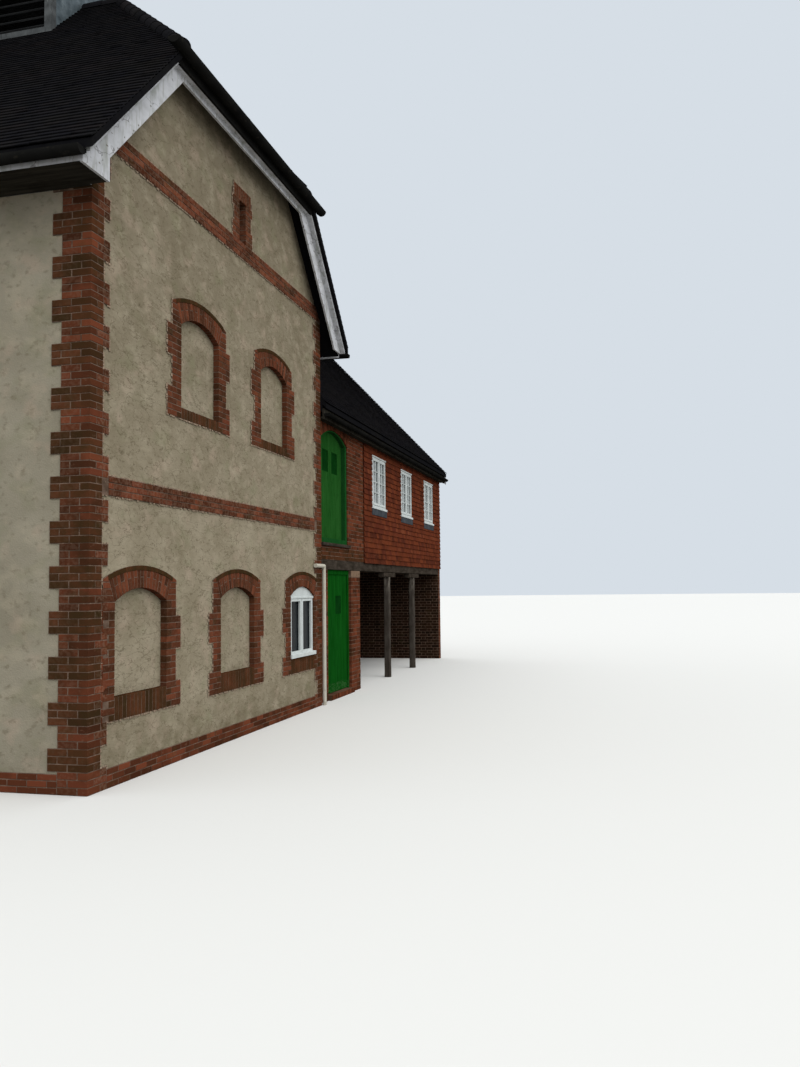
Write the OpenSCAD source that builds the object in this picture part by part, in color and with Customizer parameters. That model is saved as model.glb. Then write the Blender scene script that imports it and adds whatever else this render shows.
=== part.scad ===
// Oast house: a square brick kiln with a louvred ridge ventilator, and a long wing beside it
// with a tile-hung upper storey over an open undercroft.
// X runs along the front, Y runs back into the building, Z is up. All sizes in millimetres.
// The model stands on Z = 0, with its origin under the middle of the whole building.

/* [Kiln] */
// Length of the kiln along the front
kiln_l = 7000; // [6800:50:7300]
// Depth of the kiln from front gable to back gable
kiln_d = 7000; // [6900:50:7400]
// Thickness of the kiln's brick walls
kiln_wall_t = 340; // [250:5:450]
// Height of the soffit under the kiln's eaves
kiln_eave_z = 6100; // [6000:10:6300]
// Height of the tile edge above the soffit, at the kiln's eaves
kiln_edge_rise = 190; // [190:5:240]
// How far the kiln's tiles run out past its side walls
kiln_eave_out = 540; // [450:10:600]
// How far the kiln's roof runs out past its gables
kiln_verge_out = 350; // [300:10:400]
// Height of the ridge above the tile edge at the half hips
hip_drop = 2270; // [2100:10:2500]
// Thickness of the kiln's roof, square to the slope
kiln_roof_t = 150; // [140:5:155]
// Thickness of the kiln's upper floor
kiln_floor_t = 150; // [100:10:250]
// Height of the kiln's upper floor, at its top
kiln_floor_z = 3100; // [2900:10:3300]

/* [Roofs] */
// Pitch of every roof slope in degrees
roof_pitch = 46.5; // [44:0.5:47]
// Depth of the tile layer at a roof's edge, measured upright
tile_v = 90; // [60:5:110]
// Clearance between a roof and what it rests on or meets
fit = 0.3; // [0.2:0.1:0.5]
// Thickness of bargeboards and fascias
board_t = 30; // [20:2:40]
// Upright depth of the kiln's bargeboards
bargeboard_v = 400; // [340:10:420]
// How far the bargeboards stand back from the black boards of the half hips, face to face
board_back = 90; // [60:5:110]
// Height of the white fascia in line with the bargeboards, below the black boards
hip_fascia_h = 60; // [40:5:100]
// Height of the black board behind the half hips' gutters
hip_board_h = 150; // [120:10:180]
// How far the strips under the kiln's verge tiles stand out from the bargeboards
strip_out = 80; // [40:5:80]
// Upright depth of those strips
strip_v = 60; // [30:5:90]
// Distance of the bargeboards' left feet and of the boxed eaves behind them from the wall's corner
foot_in = 30; // [10:5:60]
// How far those feet hang below the soffit
foot_drop = 10; // [5:5:60]
// Height above the soffit at which the bargeboards end beside the wing
foot_lift = 90; // [60:5:110]
// How far the tiles run out past a board
tile_drip = 40; // [20:5:50]
// Thickness of the soffit boards
soffit_t = 20; // [12:2:30]
// Outer radius of the kiln's half-round gutters
kiln_gutter_r = 75; // [60:1:80]
// How far the gutters of the half hips run out past the hips
hip_gutter_past = 375; // [300:5:400]
// Outer radius of the wing's half-round gutters
gutter_r = 56; // [45:1:65]
// Wall of the gutters
gutter_t = 4; // [3:0.5:6]
// Radius of the ridge and hip tiles
ridge_r = 90; // [80:5:120]
// How far those tiles sink into the roof's edges
ridge_sink = 45; // [0:5:60]

/* [Brick dressings] */
// Depth of the brick dressings in front of the wall's core
dressing_t = 30; // [20:2:50]
// Depth by which the render stays behind the dressings
render_back = 12; // [6:1:16]
// Height of one quoin block, three brick courses
quoin_h = 225; // [225:1:230]
// Width of a narrow quoin block on the gable
quoin_narrow = 225; // [200:5:250]
// Width of a wide quoin block on the gable
quoin_wide = 337; // [300:1:400]
// How much wider the quoins are on the kiln's side
quoin_side_extra = 112; // [80:2:150]
// Height of the brick plinth
plinth_h = 200; // [150:10:300]
// Underside of the lower string course
string1_z = 2975; // [2900:5:3050]
// Height of the lower string course
string1_h = 205; // [150:5:230]
// Underside of the upper string course
string2_z = 6630; // [6500:10:6700]
// Height of the upper string course
string2_h = 235; // [150:5:240]
// Narrow width of a window surround
surround_narrow = 220; // [180:10:240]
// Wide width of a window surround
surround_wide = 335; // [300:5:350]
// Height of one tooth of a window surround, five brick courses
tooth_h = 375; // [360:5:390]
// Depth of the blind windows behind the core's face
recess_d = 60; // [30:5:90]

/* [Kiln windows] */
// Width of an upper blind window
upper_w = 1040; // [950:10:1100]
// Distance of the upper windows from the middle between them
upper_off = 1225; // [1150:5:1300]
// How far the middle between them lies to the right of the gable's middle
upper_shift = 150; // [0:10:200]
// Underside of the upper windows' sills
upper_z = 4050; // [3950:10:4150]
// Height of an upper window from the sill's top to the springing
upper_h = 1020; // [950:10:1050]
// Width of a lower window
lower_w = 1100; // [1000:10:1150]
// Middle of the first lower window, from the kiln's left corner
lower_left = 1020; // [980:10:1060]
// Middle of the last lower window, from the kiln's right corner
lower_right = 920; // [900:10:980]
// Underside of the lower windows' sills
lower_z = 660; // [600:10:700]
// Height of the lower windows' sills
lower_sill_h = 240; // [200:5:260]
// Height of the wide foot of a lower window's surround
lower_foot_h = 285; // [260:5:320]
// Height of a lower window from the sill's top to the springing
lower_h = 980; // [900:10:1020]
// Height of the upper windows' sills
upper_sill_h = 130; // [100:5:150]
// Height of the wide foot of an upper window's surround
upper_foot_h = 350; // [300:5:380]
// Rise of the window arches
arch_rise = 150; // [120:5:180]
// Depth of the arch ring above the springing
arch_ring = 240; // [200:5:280]
// How far the slit's middle lies to the right of the gable's middle
slit_shift = 215; // [100:5:300]
// Width of the slit
slit_w = 220; // [180:5:260]
// Height of the slit
slit_h = 580; // [500:10:600]
// Height of the lintel course over the slit
slit_lintel_h = 190; // [150:5:200]
// Width of the brick beside the slit
slit_side_w = 175; // [150:5:225]
// How much wider every other block beside the slit is
slit_tooth = 50; // [30:5:70]

/* [Ventilator] */
// Length of the ventilator along the ridge
vent_l = 2200; // [2000:50:2400]
// Width of the ventilator
vent_w = 1600; // [1500:20:1700]
// Height of the ventilator's top plate above the kiln's ridge
vent_h = 1100; // [900:50:1300]
// Size of the ventilator's corner posts
vent_post = 110; // [90:5:130]
// Number of louvre slats on each long face
louvres = 14; // [12:1:14]
// Thickness of a louvre slat
slat_t = 18; // [12:1:22]
// Width of a louvre slat
slat_w = 110; // [90:5:120]
// Slope of the louvre slats
slat_a = 40; // [35:1:45]
// Overhang of the ventilator's roof
vent_roof_out = 170; // [120:10:220]
// Upright thickness of the ventilator's roof
vent_roof_v = 120; // [80:5:140]
// Thickness of the lead flashing
lead_t = 8; // [4:1:12]
// Width of the lead flashing on the roof
lead_w = 180; // [120:10:250]

/* [Wing] */
// Length of the wing beyond the kiln
wing_l = 10500; // [10400:50:10800]
// How far the wing's front and back stand in behind the kiln's
wing_in = 90; // [70:5:120]
// Thickness of the wing's brick walls
wing_wall_t = 225; // [215:5:260]
// Thickness of the framed and tile-hung upper walls
upper_wall_t = 150; // [120:5:180]
// Height of the soffit under the wing's eaves
wing_eave_z = 4960; // [4950:10:5060]
// Height of the tile edge above the soffit, at the wing's eaves
wing_edge_rise = 254; // [240:2:280]
// How far the wing's tiles run out past its walls
wing_eave_out = 200; // [160:10:240]
// How far the wing's roof runs out past its end wall
wing_verge_out = 150; // [100:10:200]
// Thickness of the wing's roof, square to the slope
wing_roof_t = 160; // [130:5:170]
// Upright depth of the wing's bargeboards
wing_board_v = 230; // [180:10:240]
// Underside of the beam along the front
beam_z = 2330; // [2300:5:2350]
// Height of the beams
beam_h = 180; // [160:5:200]
// Depth of the beams, front to back
beam_d = 300; // [270:5:320]
// Height of the upper floor's joists
joist_h = 250; // [200:5:255]
// Width of a joist
joist_w = 75; // [50:5:100]
// Number of joists
joists = 19; // [15:1:22]
// Thickness of the upper floor's boards
floor_t = 30; // [20:2:35]
// Size of the square undercroft posts
post_s = 140; // [120:5:180]
// Right-hand edge of the first undercroft post, from the kiln
post_x0 = 5050; // [4950:10:5150]
// Spacing of the undercroft posts
post_pitch = 2380; // [2300:10:2450]
// Length of the bolster on a post
bolster_l = 980; // [800:20:1100]
// Height of the bolster on a post
bolster_h = 100; // [80:5:130]

/* [Wing windows] */
// Middle of the first wing window, from the kiln
wing_win_x0 = 4050; // [3950:10:4150]
// Spacing of the wing windows
wing_win_pitch = 2480; // [2440:10:2520]
// Width of a wing window
wing_win_w = 1080; // [1000:10:1160]
// Height of a wing window
wing_win_h = 1080; // [1000:10:1100]
// Underside of the wing windows
wing_win_z = 3700; // [3650:10:3740]
// Face width of window frames
frame_w = 60; // [50:2:80]
// Depth of window frames
frame_d = 80; // [60:2:100]
// How far the wing's window frames stand out of the wall
frame_proud = 20; // [10:2:30]
// Thickness of the glass
glass_t = 6; // [4:1:8]

/* [Entrance] */
// Length of the brick-faced entrance bay
entrance_l = 2900; // [2860:10:2960]
// Outer face of the wall between the entrance and the undercroft, from the kiln
side_wall_x = 2600; // [2540:10:2640]
// Left edge of the entrance doorway, from the kiln
doorway_x = 600; // [560:10:640]
// Width of the entrance doorway
doorway_w = 1420; // [1350:10:1450]
// Height of the entrance floor and threshold
threshold_z = 90; // [60:5:120]
// How far the threshold stands out in front of the wall
threshold_out = 60; // [40:5:80]
// Distance of the entrance door behind the wall's face
door_back = 50; // [30:5:60]
// Thickness of the door's planks
plank_t = 25; // [20:1:32]
// Thickness of the door's ledges
ledge_t = 20; // [16:1:25]
// Height of the door's ledges
ledge_h = 140; // [120:5:160]
// Width of the lip that the door closes against
lip_w = 20; // [15:1:30]
// Thickness of the lip that the door closes against
lip_t = 14; // [10:1:20]
// Clearance round the door
door_gap = 8; // [7:0.5:9]
// Clearance under the door
door_floor_gap = 10; // [8:1:15]
// Height of the weatherboard on the door
weather_h = 150; // [120:10:260]
// Size of the square panel in the door, and width of the loading door's panels
panel_w = 335; // [300:5:350]
// Left edge of the door's panel, from the kiln
panel_x = 1255; // [1200:5:1300]
// Underside of the door's panel
panel_z = 1517; // [1450:1:1600]
// Depth of the panels, and how far the weatherboard stands out
panel_t = 8; // [5:1:12]
// Distance of the door's hinges from its top and bottom edges
hinge_end = 300; // [260:10:400]
// Radius of the hinge pins
pin_r = 8; // [7:0.5:9]
// Radius of the hinge eyes
eye_r = 14; // [12:0.5:16]
// Clearance in the hinge eyes
pin_gap = 0.3; // [0.2:0.1:0.5]
// Height of a hinge eye
eye_h = 55; // [40:5:70]
// Clearance under a hinge eye
eye_under = 1; // [0.5:0.5:2]
// How far a hinge pin stands out over its eye
pin_past = 4; // [2:1:8]
// Length of a hinge strap
strap_l = 620; // [500:20:800]
// Thickness of a hinge strap
strap_t = 6; // [4:1:8]

/* [Loading door] */
// Middle of the loading door, from the kiln
loading_x = 1060; // [1040:5:1080]
// Width of the loading door's opening
loading_w = 1560; // [1500:10:1600]
// Height of the loading door's sill
loading_z = 2800; // [2760:5:2820]
// Height from the sill to the springing of its arch
loading_h = 1900; // [1850:10:1920]
// Rise of its arch
loading_rise = 200; // [160:5:220]
// Face width of its frame
loading_frame_w = 100; // [80:5:110]
// Depth of the frame behind the wall's face
loading_back = 20; // [10:5:40]
// Gap between the loading door's two leaves
loading_gap = 6; // [4:1:10]
// Distance of a leaf's panel from the middle of the door
loading_panel_x = 265; // [240:5:290]
// Underside of the panels above the sill
loading_panel_z = 1330; // [1250:10:1400]
// Height of the panels
loading_panel_h = 400; // [350:10:450]

/* [Corner pipe] */
// Radius of the white pipe at the kiln's corner
pipe_r = 34; // [25:1:40]
// Height of the pipe's level arm
pipe_z = 2380; // [2340:10:2420]
// Length of the pipe's level arm
pipe_arm = 430; // [300:10:500]
// Distance of the pipe from the gable's corner
pipe_off = 6; // [4:1:12]

/* [Hidden] */

brick = "#6d3a2a";
cream = "#a79d87";
tile_brown = "#332b26";
tile_red = "#8a4330";
white_paint = "#d4d6d8";
lead_grey = "#7d858c";
slat_dark = "#3a3b3c";
door_green = "#1c6b2c";
oak_grey = "#77726a";
board_brown = "#8a7358";
iron_black = "#262626";
glass_dark = "#20282c";

fine = 96;
eps = 10;
far = 20000;

slope = tan(roof_pitch);
kiln_roof_v = kiln_roof_t / cos(roof_pitch);
wing_roof_v = wing_roof_t / cos(roof_pitch);
kiln_edge_z = kiln_eave_z + kiln_edge_rise;
kiln_ridge_z = kiln_edge_z + (kiln_l / 2 + kiln_eave_out) * slope;
half_hip_z = kiln_ridge_z - hip_drop;
hip_run = hip_drop / slope;
hip_x = kiln_l / 2 - hip_run;
ridge_y0 = hip_run - kiln_verge_out;
board_in = tile_drip + board_t;

front_y = wing_in;
back_y = kiln_d - wing_in;
end_x = kiln_l + wing_l;
wing_edge_z = wing_eave_z + wing_edge_rise;
wing_ridge_z = wing_edge_z + (kiln_d / 2 - wing_in + wing_eave_out) * slope;
wall_top_z = wing_edge_z + wing_eave_out * slope - wing_roof_v;
upper_base_z = beam_z + beam_h;
upper_floor_z = upper_base_z + joist_h + floor_t;
inner_end_x = end_x - wing_wall_t;

vent_top_z = kiln_ridge_z + vent_h;
vent_x0 = (kiln_l - vent_w) / 2;
vent_y0 = (kiln_d - vent_l) / 2;
vent_sill_z = kiln_edge_z + (vent_x0 + kiln_eave_out) * slope;

board_reach = kiln_eave_out - tile_drip;
kiln_board_y = tile_drip + board_back - kiln_verge_out;
centre_x = (end_x + wing_verge_out - board_reach - 2 * kiln_gutter_r) / 2;
centre_y = kiln_d / 2;

door_x0 = kiln_l + doorway_x;
leaf_x0 = door_x0 + frame_w + door_gap;
leaf_x1 = door_x0 + doorway_w - frame_w - door_gap;
leaf_z0 = threshold_z + door_floor_gap;
leaf_z1 = beam_z - frame_w - door_gap;
leaf_y0 = front_y + door_back + lip_t + door_gap;
leaf_y1 = leaf_y0 + plank_t + ledge_t;
hinge_x = door_x0 + frame_w + door_gap / 2;
hinge_y = leaf_y1 + eye_r;
hinge_zs = [leaf_z0 + hinge_end, leaf_z1 - hinge_end];

// Puts the building's own corner frame round its middle
module site() {
    translate([-centre_x, -centre_y, 0]) children();
}

// A block from its low corner to its high corner
module block(lo, hi) {
    translate(lo) cube(hi - lo);
}

// Carries an outline drawn in Y and Z along X
module along_x(x0, x1) {
    translate([x0, 0, 0]) rotate([90, 0, 90]) linear_extrude(x1 - x0) children();
}

// Carries an outline drawn in X and Z along Y
module along_y(y0, y1) {
    translate([0, y1, 0]) rotate([90, 0, 0]) linear_extrude(y1 - y0) children();
}

// Turns what is drawn for the front gable round to the back
module at_kiln_back() {
    translate([0, kiln_d, 0]) mirror([0, 1, 0]) children();
}

// A rectangle between two corners
module rect(x0, z0, x1, z1) {
    translate([x0, z0]) square([x1 - x0, z1 - z0]);
}

// A window or door shape with a segmental arch, standing on [x, z]
module arched(x, z, w, h, rise) {
    r = (w * w / 4 + rise * rise) / (2 * rise);
    rect(x, z, x + w, z + h);
    intersection() {
        translate([x + w / 2, z + h + rise - r]) circle(r, $fn = fine);
        rect(x, z + h - eps, x + w, z + h + rise + eps);
    }
}

// Everything below the kiln's roof slopes, lowered by drop and widened by grow
module under_kiln_roof(drop, grow = 0) {
    edge = kiln_edge_z - grow * slope - drop;
    out = kiln_eave_out + grow;
    hip_out = kiln_verge_out + grow;
    hip_edge = half_hip_z - grow * slope - drop;
    intersection() {
        along_y(-hip_out, kiln_d + hip_out) polygon([
            [-out, -eps], [kiln_l + out, -eps], [kiln_l + out, edge],
            [kiln_l / 2, kiln_ridge_z - drop], [-out, edge]
        ]);
        along_x(-out, kiln_l + out) polygon([
            [-hip_out, -eps], [kiln_d + hip_out, -eps], [kiln_d + hip_out, hip_edge],
            [kiln_d / 2, hip_edge + (kiln_d / 2 + hip_out) * slope], [-hip_out, hip_edge]
        ]);
    }
}

// Everything below the wing's roof slopes from x0 on, lowered by drop and widened by grow
module under_wing_roof(x0, drop, grow = 0) {
    edge = wing_edge_z - grow * slope - drop;
    out = wing_eave_out + grow;
    along_x(x0, end_x + wing_verge_out + grow) polygon([
        [front_y - out, -eps], [back_y + out, -eps], [back_y + out, edge],
        [kiln_d / 2, wing_ridge_z - drop], [front_y - out, edge]
    ]);
}

// The whole kiln roof as one shell, with its tile edge standing out over the boards
module kiln_roof_shell() {
    difference() {
        under_kiln_roof(0);
        under_kiln_roof(tile_v, eps);
    }
    difference() {
        intersection() {
            under_kiln_roof(tile_v);
            block([board_in - kiln_eave_out, kiln_board_y + board_t, 0],
                  [kiln_l + kiln_eave_out - board_in, kiln_d - kiln_board_y - board_t, far]);
        }
        under_kiln_roof(kiln_roof_v, eps);
    }
}

// The part of the kiln's roof over one outline on plan
module kiln_roof_over(points) {
    intersection() {
        kiln_roof_shell();
        linear_extrude(far) polygon(points);
    }
}

// What the wing takes away from the kiln's right-hand eaves
module wing_body() {
    under_wing_roof(kiln_l, -fit);
}

// The right-hand slope is the left-hand one turned about the ridge
module mirror_kiln_x() {
    translate([kiln_l, 0, 0]) mirror([1, 0, 0]) children();
}

kiln_left_plan = [
    [-kiln_eave_out, -kiln_verge_out], [hip_x, -kiln_verge_out], [kiln_l / 2, ridge_y0],
    [kiln_l / 2, kiln_d - ridge_y0], [hip_x, kiln_d + kiln_verge_out],
    [-kiln_eave_out, kiln_d + kiln_verge_out]
];
kiln_hip_plan = [
    [hip_x, -kiln_verge_out], [kiln_l - hip_x, -kiln_verge_out], [kiln_l / 2, ridge_y0]
];

module kiln_roof_left() {
    color(tile_brown) site() kiln_roof_over(kiln_left_plan);
}

module kiln_roof_right() {
    color(tile_brown) site() difference() {
        mirror_kiln_x() kiln_roof_over(kiln_left_plan);
        wing_body();
    }
}

module kiln_roof_hips() {
    color(tile_brown) site() {
        kiln_roof_over(kiln_hip_plan);
        at_kiln_back() kiln_roof_over(kiln_hip_plan);
    }
}

// A round cap laid a little below a line, to be trimmed by the roof under it
module cap(from, to) {
    run = to - from;
    flat = norm([run.x, run.y]);
    translate(from - [0, 0, ridge_sink]) rotate([0, atan2(flat, run.z), atan2(run.y, run.x)])
        cylinder(h = norm(run), r = ridge_r, $fn = 32);
}

// The caps on the kiln's front hips and on its ridge as far as the ventilator
module kiln_front_caps() {
    top = [kiln_l / 2, ridge_y0, kiln_ridge_z];
    cap(top, [kiln_l / 2, vent_y0, kiln_ridge_z]);
    cap([hip_x, -kiln_verge_out, half_hip_z], top);
    cap([kiln_l - hip_x, -kiln_verge_out, half_hip_z], top);
}

// Ridge and hip tiles of the kiln and the ridge tiles of the wing
module ridge_tiles() {
    meet_x = kiln_l + kiln_eave_out - (wing_ridge_z - kiln_edge_z) / slope;
    color(tile_brown) site() {
        difference() {
            intersection() {
                union() {
                    kiln_front_caps();
                    at_kiln_back() kiln_front_caps();
                }
                block([0, -kiln_verge_out, 0], [kiln_l, kiln_d + kiln_verge_out, far]);
            }
            under_kiln_roof(-fit, eps);
        }
        difference() {
            cap([meet_x - ridge_r, kiln_d / 2, wing_ridge_z],
                [end_x + wing_verge_out, kiln_d / 2, wing_ridge_z]);
            under_wing_roof(0, -fit, eps);
            under_kiln_roof(-fit, eps);
        }
    }
}

hip_head_z = half_hip_z - tile_v - fit;
hip_board_z = hip_head_z - hip_board_h;

// Outline of everything lower than v under the kiln's verge tiles
module below_verge(v) {
    peak = kiln_ridge_z - tile_v - fit - v;
    low = peak - (kiln_l / 2 + far) * slope;
    polygon([[-far, low], [kiln_l / 2, peak], [kiln_l + far, low]]);
}

// Outline from the feet of the kiln's bargeboards up to z
module above_feet(z) {
    rect(-board_reach, kiln_eave_z - foot_drop, kiln_l / 2, z);
    rect(kiln_l / 2, kiln_eave_z + foot_lift, kiln_l + board_reach, z);
}

// Two bargeboards joined by a fascia under the half hip, the strips that stand out from them
// under the verge tiles, and the box between the fascia and the black board
module kiln_front_boards() {
    y = kiln_board_y;
    intersection() {
        under_kiln_roof(tile_v + fit);
        union() {
            along_y(y, y + board_t) difference() {
                above_feet(kiln_ridge_z);
                intersection() {
                    below_verge(bargeboard_v);
                    rect(-foot_in, -far, kiln_l + far, hip_board_z - hip_fascia_h);
                }
            }
            along_y(y - strip_out, y) difference() {
                above_feet(hip_board_z);
                below_verge(strip_v);
            }
            along_y(y - board_back + board_t, y) rect(0, hip_board_z, kiln_l, hip_head_z);
        }
    }
}

// Bargeboards on the kiln's gables and on the wing's end gable
module bargeboards() {
    x1 = end_x + wing_verge_out - tile_drip;
    low_y = front_y - wing_eave_out;
    high_y = back_y + wing_eave_out;
    top = wing_edge_z - tile_v - fit;
    peak = top + (kiln_d / 2 - low_y) * slope;
    color(white_paint) site() {
        kiln_front_boards();
        at_kiln_back() kiln_front_boards();
        along_x(x1 - board_t, x1) polygon([
            [low_y, top], [kiln_d / 2, peak], [high_y, top],
            [high_y, top - wing_board_v], [kiln_d / 2, peak - wing_board_v], [low_y, top - wing_board_v]
        ]);
    }
}

// Outline of a half-round gutter, its flat back on a face at X = 0 and its rim at Z = 0
module gutter_outline(r) {
    translate([-r, 0]) difference() {
        union() {
            circle(r, $fn = fine);
            rect(0, -r / 2, r, 0);
        }
        rect(-far, 0, far, far);
    }
}

// A half-round gutter along Y from y0 to y1, closed at both ends
module gutter(r, y0, y1) {
    difference() {
        along_y(y0, y1) gutter_outline(r);
        along_y(y0 + gutter_t, y1 - gutter_t) translate([-r, 0]) circle(r - gutter_t, $fn = fine);
    }
}

// The gutter of the front half hip with the board behind it, over the verge tiles at its ends
module hip_gutter() {
    y0 = tile_drip - kiln_verge_out;
    x0 = hip_x - hip_gutter_past;
    difference() {
        translate([kiln_l, y0, hip_head_z]) rotate([0, 0, 90]) gutter(kiln_gutter_r, x0, kiln_l - x0);
        difference() {
            under_kiln_roof(-fit, fit);
            under_kiln_roof(tile_v + fit, eps);
        }
    }
    intersection() {
        under_kiln_roof(tile_v + fit);
        along_y(y0, y0 + board_t) rect(0, hip_board_z, kiln_l, hip_head_z);
    }
}

// Gutters along every eave of the kiln and of the wing
module gutters() {
    rim = kiln_edge_z - tile_v - fit;
    left_y = kiln_board_y - tile_drip;
    right_y = -kiln_verge_out;
    wing_rim = wing_eave_z + soffit_t + gutter_r;
    color(iron_black) site() {
        translate([-board_reach, 0, rim]) gutter(kiln_gutter_r, left_y, kiln_d - left_y);
        difference() {
            mirror_kiln_x() translate([-board_reach, 0, rim])
                gutter(kiln_gutter_r, right_y, kiln_d - right_y);
            wing_body();
        }
        hip_gutter();
        at_kiln_back() hip_gutter();
        for (side = [0, 1])
            translate([0, side * kiln_d, 0]) mirror([0, side, 0])
                translate([0, front_y + tile_drip - wing_eave_out, wing_rim]) rotate([0, 0, 90])
                    gutter(gutter_r, -end_x - wing_verge_out + board_in, -kiln_l);
    }
}

// Section of a boxed eave, drawn towards negative X: a soffit as far in as inner, and a fascia
// that hangs below it by drop
module eave_section(out, soffit_z, fascia_top, drop, inner = 0) {
    face = tile_drip - out;
    rect(face, soffit_z, inner, soffit_z + soffit_t);
    rect(face, soffit_z - drop, face + board_t, fascia_top);
}

// The kiln's left-hand eave: a soffit and fascia, boxed in past each gable
module kiln_left_eave(y0, fascia_top) {
    along_y(y0, kiln_d - y0) eave_section(kiln_eave_out, kiln_eave_z, fascia_top, 0, -foot_in);
    block([-foot_in, 0, kiln_eave_z], [0, kiln_d, kiln_eave_z + soffit_t]);
    block([-dressing_t, dressing_t, kiln_eave_z],
          [dressing_t, kiln_d - dressing_t, kiln_eave_z + soffit_t]);
    intersection() {
        under_kiln_roof(kiln_roof_v + fit);
        for (y = [y0, kiln_d])
            block([-foot_in - board_t, y, kiln_eave_z], [-foot_in, y - y0, far]);
    }
}

// The boxed eave on the left and the bare fascia on the right, outside the wing's roof
module kiln_eaves() {
    y0 = kiln_board_y + board_t;
    fascia_top = kiln_edge_z - tile_v - fit;
    color(white_paint) site() {
        kiln_left_eave(y0, fascia_top);
        difference() {
            block([kiln_l + board_reach - board_t, y0, kiln_eave_z + soffit_t],
                  [kiln_l + board_reach, kiln_d - y0, fascia_top]);
            wing_body();
        }
    }
}

// Where each kiln window stands
slit_x = kiln_l / 2 + slit_shift - slit_w / 2;
upper_mid = kiln_l / 2 + upper_shift - upper_w / 2;
upper_xs = [upper_mid - upper_off, upper_mid + upper_off];
lower_pitch = (kiln_l - lower_left - lower_right) / 2;
lower_xs = [for (i = [0:2]) lower_left - lower_w / 2 + i * lower_pitch];

module upper_opening(x) {
    arched(x, upper_z + upper_sill_h, upper_w, upper_h, arch_rise);
}

module lower_opening(x) {
    arched(x, lower_z + lower_sill_h, lower_w, lower_h, arch_rise);
}

module slit_opening() {
    rect(slit_x, string2_z + string2_h, slit_x + slit_w, string2_z + string2_h + slit_h);
}

module window_openings() {
    for (x = upper_xs) upper_opening(x);
    for (x = lower_xs) lower_opening(x);
    slit_opening();
}

// Brick surround of an arched window of height h over its sill, toothed at its sides
module surround(x, z, w, h, foot_h) {
    arched(x - surround_narrow, z, w + 2 * surround_narrow, h + arch_ring, arch_rise);
    tooth_z = z + foot_h + tooth_h;
    rect(x - surround_wide, z, x + w + surround_wide, z + foot_h);
    rect(x - surround_wide, tooth_z, x + w + surround_wide, tooth_z + tooth_h);
}

// Outline of the kiln's gable from its plinth to the underside of its roof
module gable_outline() {
    drop = kiln_roof_v + fit;
    side = kiln_edge_z - drop + kiln_eave_out * slope;
    head = half_hip_z - drop + kiln_verge_out * slope;
    x = hip_x + kiln_verge_out;
    polygon([[0, plinth_h], [kiln_l, plinth_h], [kiln_l, side], [kiln_l - x, head], [x, head], [0, side]]);
}

// Brick dressings on a gable, as one outline
module dressing_outline() {
    slit_z = string2_z + string2_h;
    difference() {
        intersection() {
            union() {
                rect(0, string1_z, kiln_l, string1_z + string1_h);
                rect(0, string2_z, kiln_l, slit_z);
                for (i = [0:floor(string2_z / quoin_h)]) {
                    q = i % 2 == 0 ? quoin_wide : quoin_narrow;
                    rect(0, i * quoin_h, q, (i + 1) * quoin_h);
                    rect(kiln_l - q, i * quoin_h, kiln_l, (i + 1) * quoin_h);
                }
                for (x = upper_xs)
                    surround(x, upper_z, upper_w, upper_sill_h + upper_h, upper_foot_h);
                for (x = lower_xs)
                    surround(x, lower_z, lower_w, lower_sill_h + lower_h, lower_foot_h);
                rect(0, lower_z, lower_xs[0], lower_z + lower_sill_h + lower_h + arch_ring);
                rect(slit_x - slit_side_w, slit_z - eps,
                     slit_x + slit_w + slit_side_w, slit_z + slit_h + slit_lintel_h);
                for (i = [0, 2])
                    rect(slit_x - slit_side_w - slit_tooth, slit_z + i * quoin_h,
                         slit_x + slit_w + slit_side_w + slit_tooth, slit_z + (i + 1) * quoin_h);
            }
            gable_outline();
        }
        window_openings();
    }
}

// Quoin blocks turned onto the kiln's left side, drawn in Y and Z
module side_quoin_outline() {
    for (i = [0:ceil(kiln_eave_z / quoin_h) - 1]) {
        q = quoin_side_extra + (i % 2 == 0 ? quoin_narrow : quoin_wide);
        rect(0, max(i * quoin_h, plinth_h), q, min((i + 1) * quoin_h, kiln_eave_z));
    }
}

module gable_dressings() {
    along_y(0, dressing_t) dressing_outline();
    along_x(0, dressing_t) difference() {
        side_quoin_outline();
        rect(-eps, -eps, dressing_t, far);
    }
}

module kiln_front_dressings() {
    color(brick) site() gable_dressings();
}

module kiln_back_dressings() {
    color(brick) site() at_kiln_back() gable_dressings();
}

// Render between the dressings of a gable, and on the backs of its blind windows
module gable_render() {
    along_y(render_back, dressing_t) difference() {
        gable_outline();
        dressing_outline();
        window_openings();
    }
    along_y(dressing_t + recess_d - render_back, dressing_t + recess_d) {
        for (x = upper_xs) upper_opening(x);
        for (i = [0:1]) lower_opening(lower_xs[i]);
    }
}

module kiln_front_render() {
    color(cream) site() gable_render();
}

module kiln_back_render() {
    color(cream) site() at_kiln_back() gable_render();
}

module kiln_side_render() {
    color(cream) site() along_x(render_back, dressing_t) difference() {
        rect(dressing_t, plinth_h, kiln_d - dressing_t, kiln_eave_z);
        side_quoin_outline();
        translate([kiln_d, 0]) mirror([1, 0]) side_quoin_outline();
    }
}

// Core of a gable wall on its plinth, with its blind windows sunk and its open ones cut through
module gable_wall() {
    block([0, 0, 0], [kiln_l, kiln_wall_t, plinth_h]);
    difference() {
        intersection() {
            block([dressing_t, dressing_t, 0], [kiln_l, kiln_wall_t, far]);
            under_kiln_roof(kiln_roof_v + fit);
        }
        along_y(-eps, dressing_t + recess_d) {
            for (x = upper_xs) upper_opening(x);
            for (i = [0:1]) lower_opening(lower_xs[i]);
        }
        along_y(-eps, kiln_wall_t + eps) {
            lower_opening(lower_xs[2]);
            slit_opening();
        }
    }
}

module kiln_front_wall() {
    color(brick) site() gable_wall();
}

module kiln_back_wall() {
    color(brick) site() at_kiln_back() gable_wall();
}

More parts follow.
